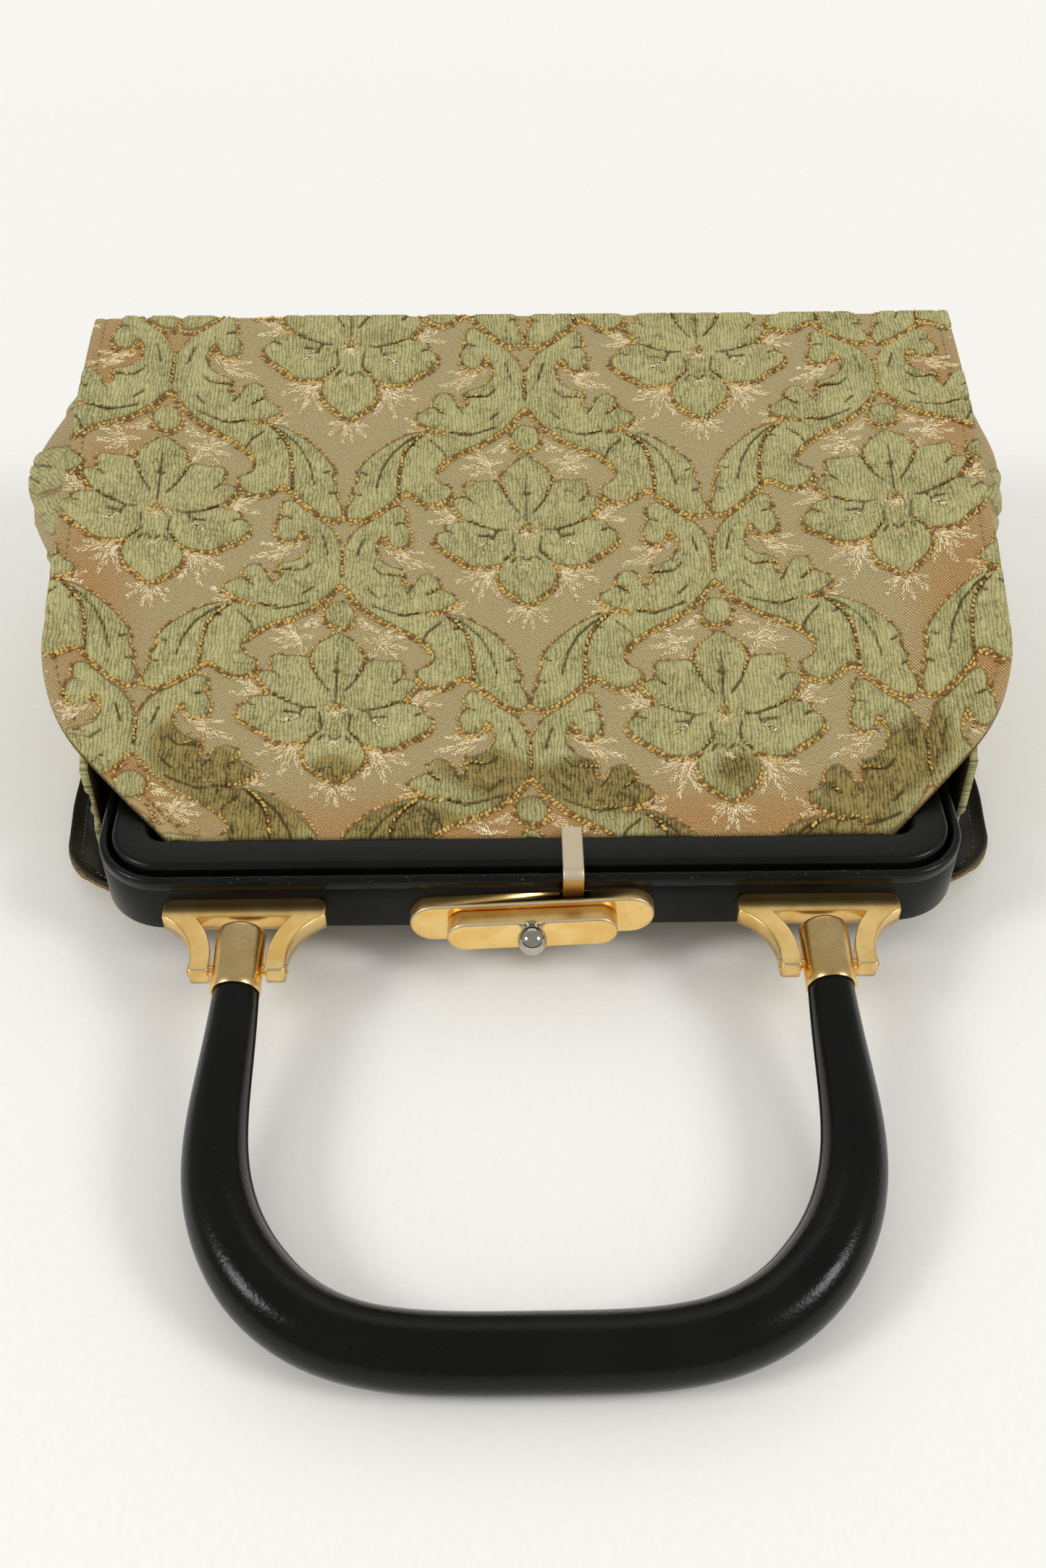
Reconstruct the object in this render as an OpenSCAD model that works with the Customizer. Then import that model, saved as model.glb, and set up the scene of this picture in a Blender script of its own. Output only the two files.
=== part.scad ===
// Velvet handbag with a hinged frame, a slide lock and a swinging handle.
// It lies on its back panel: X runs across the bag, Y from its mouth to its bottom, Z up.

/* [Body] */
// Width of the front and back panels
panel_w = 292; // [270:1:320]
// Length from the frame's face to the outside of the bottom
bag_h = 201; // [185:1:230]
// Depth of the bag at its bottom
bottom_d = 100; // [85:1:115]
// Thickness of a velvet panel with its board
panel_t = 2.4; // [1.6:0.1:3]
// How far the middle of the front panel sags
panel_sag = 4; // [0:0.5:6]
// How far the sides of the front panel lift
panel_lift = 11; // [6:0.5:13]
// Distance from the frame's face to where the front corners start to curve
wing_y = 72; // [68:1:80]
// Radius of the front panel's curved corners
wing_r = 44; // [38:1:50]
// Angle through which a corner curves before it runs straight
wing_sweep = 48; // [44:1:52]
// Radius of the back panel's corners
back_corner_r = 26; // [18:1:34]
// Distance from the frame's face to the back panel's near edge
back_inset = 15; // [12:1:20]
// Distance over which the back panel rises to the frame
back_rise_run = 14; // [10:1:30]
// Distance over which the back panel's corners rise
tab_rise_run = 40; // [30:1:50]
// Distance from the middle of the bag to where the corners start to rise
tab_from = 100; // [90:1:115]
// How much narrower the back panel is at its near corners
tab_narrow = 5.5; // [0:0.5:8]
// Distance over which the back panel narrows
tab_narrow_run = 50; // [40:1:60]
// Thickness of the leather facing and of the lining
facing_t = 0.8; // [0.5:0.1:1.2]
// How far the facing stays inside the back panel's edge
facing_inset = 2; // [1:0.25:4]
// Distance from the frame's face to the facing's far edge
facing_end = 78; // [70:1:95]
// Thickness of a gusset
gusset_t = 1.6; // [1:0.1:2.4]
// How far a gusset bulges out
gusset_bulge = 23; // [8:1:26]
// Distance from the bottom to the fullest part of a gusset
bulge_from_bottom = 48; // [40:1:64]
// Distance over which a gusset's bulge dies away
bulge_run = 38; // [32:1:44]
// How far the panels overhang the gussets
overhang = 6; // [4:0.5:9]
// Distance from the frame's face to the gussets' near ends
gusset_start = 36; // [32:1:44]
// Distance from the frame's face to where the gussets start to narrow
gusset_taper = 80; // [74:1:90]
// Gap between sewn pieces
seam_gap = 0.3; // [0.2:0.05:0.5]

/* [Frame] */
// Width over the frame
frame_w = 251; // [235:1:262]
// Height of the frame's face
face_h = 20; // [18:0.5:24]
// Height of the face's lower edge above the surface that the bag lies on
face_z = 13; // [10:0.5:16]
// Outer corner radius of the frame
frame_r = 20; // [18:0.5:24]
// Thickness of the rear frame's wall
wall_t = 3; // [2.6:0.1:3.6]
// Width of the rear frame's inner flange
flange_w = 12; // [9:0.5:13]
// Gap between the rear frame's wall and the front frame
groove = 1; // [0.8:0.1:1.5]
// Width of the front frame
ring_w = 11; // [9.5:0.5:12]
// Edge radius of the front frame
ring_edge_r = 3.5; // [2.5:0.25:4]
// How far the front frame stands above the rear frame's rim
ring_rise = 2; // [1.5:0.25:3]
// Height of the gap between the flange and the front frame
mouth_gap = 1.8; // [1:0.2:3]
// Thickness of the steel inside the rear frame's wall
strip_t = 1.2; // [1:0.1:1.4]
// Width of the steel inside the front frame
bar_w = 2; // [1.4:0.2:4]
// Clearance of the steel inside the leather
bar_play = 0.1; // [0.05:0.05:0.2]
// Distance from the frame's face to the hinge axis
hinge_y = 72; // [70:1:78]
// How far the hinge axis lies below the middle of the front frame
hinge_drop = 2; // [1:0.25:3]
// How far the arms run past the hinge axis
hinge_lug = 7; // [6:0.5:8]
// Radius of a hinge pin
hinge_pin_r = 1.6; // [1.3:0.1:1.9]
// How deep a hinge pin reaches into the front frame
hinge_pin_reach = 8; // [6:0.5:9]
// Running clearance of every pin
run_play = 0.05; // [0.03:0.01:0.08]
// Distance from the frame's face to where the front panel starts to fold
fold_start = 40; // [36:1:43]
// Distance from the frame's face to where the front panel's fold ends
fold_end = 62; // [61:1:65]

/* [Lock] */
// Length of the lock case
case_l = 70; // [64:1:76]
// Height of the lock case
case_h = 14; // [12:0.5:15]
// Thickness of the lock case
case_t = 4.5; // [4:0.25:5.5]
// Length of the slide
slide_l = 48.5; // [44:0.5:52]
// Height of the slide
slide_h = 10.8; // [9.4:0.1:11.6]
// Thickness of the slide
slide_t = 5.4; // [4.5:0.1:6]
// Running gap behind the slide
slide_gap = 0.3; // [0.2:0.05:0.5]
// Travel of the slide
slide_travel = 4.5; // [3:0.5:6]
// Length of the tongue behind the slide
tongue_l = 7; // [5:0.5:9]
// Height of the tongue behind the slide
tongue_h = 3; // [2:0.25:4]
// Diameter of the ball knob
knob_d = 8.4; // [7:0.2:10]
// Length of the neck between the slide and the ball
knob_neck = 0; // [0:0.2:1]
// How far the ball sits above the middle of the slide
knob_rise = 2.8; // [0:0.1:3]
// Angle at which the lock sits on the face
lock_tilt = 3; // [0:0.5:4]
// How far the lock lies below the middle of the face
lock_drop = 2.75; // [1.5:0.25:3.5]
// Distance of the hasp from the middle of the bag
hasp_x = 11.7; // [9:0.1:16]
// Width of the hasp
hasp_w = 6; // [5:0.25:7]
// Thickness of the hasp
hasp_t = 1.6; // [1.2:0.1:1.8]
// Gap between the hasp and the rear frame's face
hasp_gap = 1; // [0.8:0.1:1.3]
// Side clearance of the hasp in the lock case
hasp_play = 0.9; // [0.7:0.1:1.2]
// Depth of the hasp in the lock case
hasp_depth = 4; // [3:0.25:5]
// How far the hasp reaches over the velvet
hasp_over = 1.2; // [0.6:0.2:1.4]

/* [Handle] */
// Distance between the two brackets
pivot_spacing = 163; // [155:1:172]
// Length of a bracket's base along the frame
bracket_w = 46; // [42:1:50]
// Depth of a bracket's base bar
bracket_bar = 7; // [5:0.5:8]
// Radius of a bracket's corners at the frame
bracket_corner_r = 3; // [2:0.25:3.5]
// Thickness of a bracket
bracket_t = 6; // [5:0.5:8]
// Distance from the frame's face to the pivot axis
pivot_out = 24.2; // [23:0.2:27]
// Distance from the pivot axis to the ends of the feet
foot_end = 2.4; // [2.1:0.1:3.2]
// Width of a bracket's foot
foot_w = 5.6; // [4.5:0.2:6.5]
// Radius of a bracket's outer sweep
leg_sweep_r = 18.2; // [17:0.2:20]
// Half width of the opening where it meets the base bar
opening_half = 13.2; // [12:0.2:14]
// Radius of a pivot pin
pivot_r = 1.5; // [1.2:0.1:1.7]
// Height of a pivot pin's head
pivot_head = 0.6; // [0.4:0.1:1]
// How far a pivot pin's head stands out around the pin
pivot_head_lip = 0.2; // [0.1:0.05:0.4]
// Diameter of a ferrule
ferrule_d = 13.8; // [13:0.1:14.4]
// Wall of a ferrule around the grip's end
ferrule_wall = 0.6; // [0.5:0.1:0.8]
// Length of a ferrule in front of the pivot axis
ferrule_front = 7.5; // [6.5:0.5:9]
// Length of a ferrule behind the pivot axis
ferrule_back = 12.5; // [10:0.5:13]
// Gap between a ferrule and the feet beside it
ferrule_gap = 0.8; // [0.5:0.1:1.2]
// Depth of the grip's end in its ferrule
grip_seat = 4; // [3:0.5:4.5]
// Length of the handle from the pivot axis to the middle of the grip
handle_l = 106.7; // [95:0.5:118]
// How square the handle's corners are
handle_square = 3.6; // [2.8:0.1:4]
// How far the handle's legs bow out
handle_splay = 2.6; // [0:0.1:4]
// Length over which the grip thickens
grip_taper = 80; // [65:1:105]
// Clearance of the grip's end in its ferrule
grip_play = 0.25; // [0.15:0.05:0.4]
// Radius in the middle of the grip
grip_r = 9.6; // [8.5:0.1:10.5]
// Radius of the steel core of the handle
core_r = 2.5; // [2:0.25:3]
// Radius of a rivet
rivet_r = 1.5; // [1.2:0.1:1.8]
// Depth of a rivet in its bracket or lock case
rivet_depth = 3; // [2:0.25:3.5]
// Distance of a rivet from the middle of its bracket
bracket_rivet_x = 15; // [12:0.5:17]
// Distance of a rivet from the middle of the lock case
lock_rivet_x = 28; // [27:0.5:29]

/* [Hidden] */
$fn = 64;

// Colours
velvet_green = [0.53, 0.53, 0.33];
satin = [0.45, 0.38, 0.27];
black_leather = [0.09, 0.09, 0.085];
gold = [0.86, 0.66, 0.31];
silver = [0.78, 0.74, 0.66];
steel = [0.55, 0.55, 0.56];

// Places along the bag
y_face = -bag_h / 2;
y_far = bag_h / 2;
y_ring = y_face + wall_t + groove;
y_near = y_ring + ring_w + seam_gap;
y_hinge = y_face + hinge_y;
y_arm_end = y_hinge + hinge_lug;
y_fold_start = y_face + fold_start;
y_fold_end = y_face + fold_end;
y_wing = y_face + wing_y;
y_pivot = y_face - pivot_out;
y_back_near = y_face + back_inset;
y_gusset_near = y_face + gusset_start;
y_gusset_far = y_far - panel_t - seam_gap;

// Heights
rim_z = face_z + face_h;
crown_z = rim_z + ring_rise;
mid_z = face_z + face_h / 2;
ring_z = face_z + wall_t + mouth_gap;
hasp_z = crown_z + seam_gap / 2;
case_top_z = mid_z - lock_drop + case_h / 2 + hasp_x * tan(lock_tilt);
hasp_tail_z = case_top_z - hasp_depth;
near_z = hasp_z - seam_gap - hasp_over * (bottom_d - hasp_z) / (y_far - y_near);
hinge_z = (ring_z + crown_z) / 2 - hinge_drop;
back_edge_z = face_z - facing_t - panel_t - 2 * seam_gap;

// Widths
half_w = panel_w / 2;
frame_half = frame_w / 2;
ring_half = frame_half - wall_t - groove;
ring_r = frame_r - wall_t - groove;
gusset_near_half = frame_half + overhang;
gusset_half = max(half_w - overhang, gusset_near_half);
flange_end = y_fold_start;

// Forms of the bow across the front panel and of the bulge up a gusset
bow_power = 0.8;
bulge_power = 1.8;
splay_power = 1.25;

// How far a cut runs past a face
cut_over = 1;

// Points on each faceted sheet
panel_columns = 24;
back_columns = 24;
back_rise_rows = 18;
gusset_columns = 16;
gusset_rows = 12;

// Handle
ferrule_r = ferrule_d / 2;
foot_in = ferrule_r + ferrule_gap;
foot_out = foot_in + foot_w;
grip_end_r = ferrule_r - ferrule_wall - grip_play;
grip_start = ferrule_front - grip_seat;
handle_tilt = asin((mid_z - grip_r) / handle_l);
handle_half = pivot_spacing / 2;
handle_steps = 44;
grip_sides = 20;
core_sides = 8;

function limit(t) = max(0, min(1, t));
function ease(t) = let (c = limit(t)) c * c * (3 - 2 * c);
function mix(a, b, t) = a + (b - a) * t;

// Outer face of the front panel: a slope that sags in the middle and lifts at the sides
function panel_share(y) = limit((y - y_near) / (y_far - y_near));
function panel_z(x, y) =
    let (s = panel_share(y), bow = pow(sin(180 * s), bow_power), side = limit(abs(x) / half_w))
    mix(near_z, bottom_d, s) + bow * (-panel_sag + (panel_sag + panel_lift) * side * side);

// Half width of the front panel: straight sides, a curve, then a straight cut to the near edge
y_cut = y_wing - wing_r * sin(wing_sweep);
cut_half = half_w - wing_r * (1 - cos(wing_sweep));
function front_half(y) =
    y >= y_wing ? half_w
    : y >= y_cut ? half_w - wing_r + sqrt(wing_r * wing_r - pow(y_wing - y, 2))
    : cut_half - (y_cut - y) * tan(wing_sweep);

// Outer face and half width of the back panel, which rises to the frame at its near edge and corners
function back_run(x) = mix(back_rise_run, tab_rise_run, ease((abs(x) - tab_from) / (half_w - tab_from)));
function back_z(x, y) = back_edge_z * ease((y_back_near + back_run(x) - y) / back_run(x));
function back_half(y) =
    let (d = max(0, y_back_near + back_corner_r - y))
    let (narrow = tab_narrow * ease((y_back_near + tab_narrow_run - y) / tab_narrow_run))
    half_w - narrow - back_corner_r + sqrt(pow(back_corner_r, 2) - d * d);

// Outer face of the right gusset at a place along the bag and a share of its height
bulge_y = y_far - bulge_from_bottom;
function gusset_narrowing(y) =
    ease((y_face + gusset_taper - y) / (gusset_taper - gusset_start));
function gusset_edge(y) = mix(gusset_half, gusset_near_half, gusset_narrowing(y));
function gusset_low(y) = back_z(gusset_edge(y), y) + panel_t + facing_t + 2 * seam_gap;
function gusset_high(y) = panel_z(gusset_edge(y), y) - panel_t - seam_gap;
function gusset_point(y, q, inset) = [
    gusset_edge(y) - inset
        + gusset_bulge * exp(-pow((y - bulge_y) / bulge_run, 2)) * sin(180 * pow(q, bulge_power)),
    y,
    mix(gusset_low(y), gusset_high(y), q)
];

// Middle line of the handle in its own plane, with the pivots on the X axis
function handle_point(a) =
    let (k = pow(pow(abs(cos(a)), handle_square) + pow(sin(a), handle_square), 1 / handle_square))
    let (y = handle_l * sin(a) / k)
    let (u = pow(limit((y - ferrule_front) / (handle_l - ferrule_front)), splay_power))
    [(handle_half + handle_splay * pow(sin(180 * u), 2)) * cos(a) / k, -y, 0];
function handle_radius(p) = mix(grip_end_r, grip_r, limit((-p.y - ferrule_front) / grip_taper));

function rows(n) = [for (i = [0 : n]) i / n];

// Closed sheet between two grids of points
module sheet(outer, inner) {
    r = len(outer) - 1;
    c = len(outer[0]) - 1;
    count = (r + 1) * (c + 1);
    function id(i, j, s) = s * count + i * (c + 1) + j;
    function quad(a, b, d, e) = [[a, b, d], [a, d, e]];
    points = concat([for (row = outer) each row], [for (row = inner) each row]);
    faces = concat(
        [for (i = [0 : r - 1], j = [0 : c - 1])
            each quad(id(i, j, 0), id(i + 1, j, 0), id(i + 1, j + 1, 0), id(i, j + 1, 0))],
        [for (i = [0 : r - 1], j = [0 : c - 1])
            each quad(id(i, j, 1), id(i, j + 1, 1), id(i + 1, j + 1, 1), id(i + 1, j, 1))],
        [for (j = [0 : c - 1])
            each quad(id(0, j, 0), id(0, j + 1, 0), id(0, j + 1, 1), id(0, j, 1))],
        [for (j = [0 : c - 1])
            each quad(id(r, j + 1, 0), id(r, j, 0), id(r, j, 1), id(r, j + 1, 1))],
        [for (i = [0 : r - 1])
            each quad(id(i + 1, 0, 0), id(i, 0, 0), id(i, 0, 1), id(i + 1, 0, 1))],
        [for (i = [0 : r - 1])
            each quad(id(i, c, 0), id(i + 1, c, 0), id(i + 1, c, 1), id(i, c, 1))]
    );
    polyhedron(points, faces, convexity = 4);
}

// Stretch of the front panel between two places along the bag
module front_sheet(y0, y1, steps) {
    ys = [for (s = rows(steps)) mix(y0, y1, s)];
    across = [for (s = rows(panel_columns)) 2 * s - 1];
    sheet(
        [for (y = ys) [for (t = across) let (x = t * front_half(y)) [x, y, panel_z(x, y)]]],
        [for (y = ys) [for (t = across) let (x = t * front_half(y)) [x, y, panel_z(x, y) - panel_t]]]
    );
}

// Layer of the back panel up to a place along the bag, from one height above its outer face to another
module back_sheet(y_end, low, high, inset) {
    run = max(back_rise_run, tab_rise_run, tab_narrow_run);
    rise = [for (s = rows(back_rise_rows)) y_back_near + run * (1 - cos(90 * s))];
    ys = concat(rise, [y_end]);
    across = [for (s = rows(back_columns)) 2 * s - 1];
    function layer(h) =
        [for (y = ys) [for (t = across) let (x = t * (back_half(y) - inset)) [x, y, back_z(x, y) + h]]];
    sheet(layer(high), layer(low));
}

// Section swept along the near side of the frame, round its corners and along both arms.
// The section's X is the distance in from the outside, and its Y is the height.
module frame_sweep(half, y_front, r, y_end) {
    translate([-(half - r), y_front, 0])
        rotate([90, 0, 90])
            linear_extrude(2 * (half - r))
                children();
    for (side = [0, 1])
        mirror([side, 0, 0]) {
            translate([half - r, y_front + r, 0])
                rotate([0, 0, -90])
                    rotate_extrude(angle = 90)
                        translate([r, 0])
                            mirror([1, 0])
                                children();
            translate([half, y_end, 0])
                rotate([90, 0, 0])
                    linear_extrude(y_end - y_front - r)
                        mirror([1, 0])
                            children();
        }
}

// Cylinder along X, centred in its length
module rod_x(r, length) {
    rotate([0, 90, 0])
        cylinder(r = r, h = length, center = true);
}

// Cylinder along Y from one place to another
module rod_y(r, y0, y1) {
    translate([0, y0, 0])
        rotate([-90, 0, 0])
            cylinder(r = r, h = y1 - y0);
}

// Flat bar with round ends, its length along X and its thickness towards the viewer
module stadium(length, height, thickness) {
    rotate([90, 0, 0])
        linear_extrude(thickness) {
            square([length - height, height], center = true);
            for (s = [-1, 1])
                translate([s * (length - height) / 2, 0])
                    circle(d = height);
        }
}

module at_lock() {
    translate([0, y_face, mid_z - lock_drop])
        rotate([0, -lock_tilt, 0])
            children();
}

module at_handle() {
    translate([0, y_pivot, mid_z])
        rotate([handle_tilt, 0, 0])
            children();
}

// Tube along the handle's middle line, with a radius at each point and a bore
module handle_tube(outer_r, bore_r, sides) {
    first = atan2(grip_start / handle_l, 1);
    line = [for (s = rows(handle_steps)) handle_point(mix(first, 180 - first, s))];
    n = handle_steps;
    m = sides;
    function way(i) = let (d = line[min(n, i + 1)] - line[max(0, i - 1)]) d / norm(d);
    function out(i) =
        i == 0 ? [1, 0, 0]
        : i == n ? [-1, 0, 0]
        : [-way(i).y, way(i).x, 0];
    function ring(i, r) =
        [for (k = [0 : m - 1]) line[i] + r * (cos(360 * k / m) * out(i) + [0, 0, sin(360 * k / m)])];
    function id(i, k, s) = s * (n + 1) * m + i * m + (k % m);
    function quad(a, b, d, e) = [[a, b, d], [a, d, e]];
    points = concat(
        [for (i = [0 : n]) each ring(i, outer_r(line[i]))],
        [for (i = [0 : n]) each ring(i, bore_r)]
    );
    faces = concat(
        [for (i = [0 : n - 1], k = [0 : m - 1])
            each quad(id(i, k, 0), id(i, k + 1, 0), id(i + 1, k + 1, 0), id(i + 1, k, 0))],
        [for (i = [0 : n - 1], k = [0 : m - 1])
            each quad(id(i, k, 1), id(i + 1, k, 1), id(i + 1, k + 1, 1), id(i, k + 1, 1))],
        [for (k = [0 : m - 1]) each quad(id(0, k + 1, 0), id(0, k, 0), id(0, k, 1), id(0, k + 1, 1))],
        [for (k = [0 : m - 1]) each quad(id(n, k, 0), id(n, k + 1, 0), id(n, k + 1, 1), id(n, k, 1))]
    );
    polyhedron(points, faces, convexity = 6);
}

// Velvet front panel below the fold
module front_panel() {
    color(velvet_green)
        front_sheet(y_fold_end, y_far, steps = 12);
}

// Velvet front panel where it bends as the frame opens
module front_panel_fold() {
    color(velvet_green)
        front_sheet(y_fold_start, y_fold_end, steps = 4);
}

// Velvet front panel on the front frame
module front_panel_top() {
    color(velvet_green)
        front_sheet(y_near, y_fold_start, steps = 5);
}

// Velvet back panel, which the bag lies on
module back_panel() {
    color(velvet_green)
        back_sheet(y_far, 0, panel_t, 0);
}

// Leather facing inside the near end of the back panel
module back_facing() {
    low = panel_t + seam_gap;
    color(black_leather)
        back_sheet(y_face + facing_end, low, low + facing_t, facing_inset);
}

// Velvet bottom of the bag
module bottom_panel() {
    color(velvet_green)
        translate([-gusset_half, y_far - panel_t, panel_t])
            cube([2 * gusset_half, panel_t, panel_z(0, y_far - panel_t) - 2 * panel_t - seam_gap]);
}

module gusset() {
    ys = [for (s = rows(gusset_columns)) mix(y_gusset_near, y_gusset_far, s)];
    color(velvet_green)
        sheet(
            [for (q = rows(gusset_rows)) [for (y = ys) gusset_point(y, q, 0)]],
            [for (q = rows(gusset_rows)) [for (y = ys) gusset_point(y, q, gusset_t)]]
        );
}

module left_gusset() {
    mirror([1, 0, 0])
        gusset();
}

module right_gusset() {
    gusset();
}

// Satin lining on the back and the bottom of the bag
module lining() {
    lining_half = gusset_half - gusset_t - overhang / 2;
    lining_y = y_far - panel_t - facing_t;
    color(satin) {
        translate([-lining_half, y_face + facing_end, panel_t])
            cube([2 * lining_half, lining_y + facing_t - y_face - facing_end, facing_t]);
        translate([-lining_half, lining_y, panel_t])
            cube([2 * lining_half, facing_t, bottom_d - 4 * panel_t]);
    }
}

// Holes through the rear frame's wall for the rivets and the hinge pins
module rear_frame_holes() {
    for (side = [-1, 1]) {
        translate([side * frame_half, y_hinge, hinge_z])
            rod_x(hinge_pin_r + run_play / 2, 4 * wall_t);
        for (k = [-1, 1])
            translate([side * handle_half + k * bracket_rivet_x, 0, mid_z])
                rod_y(rivet_r + run_play, y_face - cut_over, y_face + wall_t + cut_over);
    }
    for (side = [-1, 1])
        at_lock()
            translate([side * lock_rivet_x, 0, 0])
                rod_y(rivet_r + run_play, -cut_over, wall_t + cut_over);
}

module strip_section(play) {
    translate([(wall_t - strip_t) / 2 - play, face_z + wall_t - play])
        square([strip_t + 2 * play, face_h - 2 * wall_t + 2 * play]);
}

// Leather-covered rear frame: a wall with a rim, and a flange under the mouth
module rear_frame_cover() {
    rim_r = wall_t / 2;
    color(black_leather)
        difference() {
            union() {
                frame_sweep(frame_half, y_face, frame_r, y_arm_end)
                    difference() {
                        union() {
                            translate([0, face_z])
                                square([wall_t, face_h - rim_r]);
                            translate([rim_r, rim_z - rim_r])
                                circle(rim_r);
                        }
                        strip_section(bar_play);
                    }
                frame_sweep(frame_half, y_face, frame_r, flange_end)
                    translate([wall_t / 2 + strip_t, face_z])
                        square([flange_w + wall_t / 2 - strip_t, wall_t - 2 * bar_play]);
            }
            rear_frame_holes();
        }
}

// Steel strip inside the rear frame's wall
module rear_frame_strip() {
    color(steel)
        difference() {
            frame_sweep(frame_half, y_face, frame_r, y_arm_end - hinge_lug / 4)
                strip_section(0);
            rear_frame_holes();
        }
}

module bar_section(play) {
    translate([(ring_w - bar_w) / 2 - play, ring_z + ring_edge_r - play])
        square([bar_w + 2 * play, crown_z - ring_z - 2 * ring_edge_r + 2 * play]);
}

// Holes in the front frame's arms for the hinge pins
module front_frame_holes() {
    for (side = [-1, 1])
        translate([side * ring_half, y_hinge, hinge_z])
            rod_x(hinge_pin_r + run_play, 2 * (hinge_pin_reach + run_play));
}

// Leather-covered front frame with rounded edges
module front_frame_cover() {
    color(black_leather)
        difference() {
            frame_sweep(ring_half, y_ring, ring_r, y_arm_end)
                difference() {
                    union() {
                        translate([0, ring_z])
                            square([ring_w, crown_z - ring_z - ring_edge_r]);
                        translate([ring_edge_r, ring_z])
                            square([ring_w - 2 * ring_edge_r, crown_z - ring_z]);
                        for (x = [ring_edge_r, ring_w - ring_edge_r])
                            translate([x, crown_z - ring_edge_r])
                                circle(ring_edge_r);
                    }
                    bar_section(bar_play);
                }
            front_frame_holes();
        }
}

// Steel bar inside the front frame
module front_frame_bar() {
    color(steel)
        difference() {
            frame_sweep(ring_half, y_ring, ring_r, y_arm_end - hinge_lug / 4)
                bar_section(0);
            front_frame_holes();
        }
}

// Pin from the rear frame's wall into the front frame's arm
module hinge_pin(side) {
    from = ring_half - hinge_pin_reach;
    color(steel)
        translate([side * (from + frame_half) / 2, y_hinge, hinge_z])
            rod_x(hinge_pin_r, frame_half - from);
}

module left_hinge_pin() {
    hinge_pin(-1);
}

module right_hinge_pin() {
    hinge_pin(1);
}

// Lock case with a mouth for the hasp and a slot for the slide's tongue
module lock_case() {
    slot_l = tongue_l + slide_travel + 2 * slide_gap;
    mouth_w = hasp_w + 2 * hasp_play;
    mouth_y = y_face - hasp_t - 3 / 2 * hasp_gap;
    mouth_z = hasp_tail_z - hasp_depth / 2;
    color(gold)
        difference() {
            at_lock()
                stadium(case_l, case_h, case_t);
            translate([hasp_x - mouth_w / 2, mouth_y, mouth_z])
                cube([mouth_w, hasp_t + hasp_gap, case_h]);
            at_lock()
                translate([tongue_l / 2 + slide_gap - slot_l, -case_t - cut_over, -tongue_h / 2 - slide_gap])
                    cube([slot_l, case_t / 2 + cut_over, tongue_h + 2 * slide_gap]);
            at_lock()
                for (side = [-1, 1])
                    translate([side * lock_rivet_x, 0, 0])
                        rod_y(rivet_r + run_play, -rivet_depth, cut_over);
        }
}

// Slide that locks the hasp, with a tongue in the case
module lock_slide() {
    color(gold)
        at_lock() {
            translate([0, -case_t - slide_gap, 0])
                stadium(slide_l, slide_h, slide_t);
            translate([-tongue_l / 2, -case_t - slide_gap - slide_t / 2, -tongue_h / 2])
                cube([tongue_l, (slide_t + case_t) / 2, tongue_h]);
        }
}

// Ball knob on the slide
module lock_knob() {
    neck_r = knob_d / 4;
    slide_face = -case_t - slide_gap - slide_t;
    color(silver)
        at_lock()
            translate([0, slide_face, knob_rise])
                rotate([90, 0, 0])
                    rotate_extrude() {
                        square([neck_r, knob_neck + knob_d / 4]);
                        intersection() {
                            translate([0, knob_neck + knob_d / 2])
                                circle(d = knob_d);
                            square([knob_d, knob_neck + 2 * knob_d]);
                        }
                    }
}

// Rivets that hold the lock case on the frame
module lock_rivets() {
    color(steel)
        at_lock()
            for (side = [-1, 1])
                translate([side * lock_rivet_x, 0, 0])
                    rod_y(rivet_r, -rivet_depth, wall_t);
}

// Hasp: a flat strip on the front frame, bent down into the lock case
module hasp() {
    bend_r = 2 * hasp_t;
    tail_y = y_face - hasp_gap - hasp_t;
    flat_end = y_near + hasp_over;
    top_z = hasp_z + hasp_t;
    color(silver)
        translate([hasp_x - hasp_w / 2, 0, 0]) {
            translate([0, tail_y + bend_r, hasp_z])
                cube([hasp_w, flat_end - tail_y - bend_r, hasp_t]);
            translate([0, tail_y, hasp_tail_z])
                cube([hasp_w, hasp_t, top_z - bend_r - hasp_tail_z]);
            translate([hasp_w, tail_y + bend_r, top_z - bend_r])
                rotate([90, 0, -90])
                    rotate_extrude(angle = 90)
                        translate([bend_r - hasp_t, 0])
                            square([hasp_t, hasp_w]);
        }
}

// Outline of a bracket on the frame, seen from above, with its base on the X axis
module bracket_outline() {
    end = -pivot_out - foot_end;
    sweep_y = -pivot_out + pivot_r;
    base_r = bracket_corner_r;
    leg_in_r = (pow(opening_half - foot_in, 2) + pow(sweep_y + bracket_bar, 2))
        / (2 * (opening_half - foot_in));
    difference() {
        union() {
            translate([-bracket_w / 2, sweep_y])
                square([bracket_w, -base_r - sweep_y]);
            translate([-bracket_w / 2 + base_r, -base_r])
                square([bracket_w - 2 * base_r, base_r]);
            for (s = [-1, 1])
                translate([s * (bracket_w / 2 - base_r), -base_r])
                    circle(base_r);
            translate([-foot_out, end])
                square([2 * foot_out, sweep_y - end]);
        }
        for (s = [-1, 1])
            translate([s * (foot_out + leg_sweep_r), sweep_y])
                circle(leg_sweep_r);
        difference() {
            translate([-opening_half, sweep_y])
                square([2 * opening_half, -bracket_bar - sweep_y]);
            for (s = [-1, 1])
                translate([s * (foot_in + leg_in_r), sweep_y])
                    circle(leg_in_r);
        }
        translate([-foot_in, end - cut_over])
            square([2 * foot_in, sweep_y - end + cut_over]);
    }
}

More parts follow.
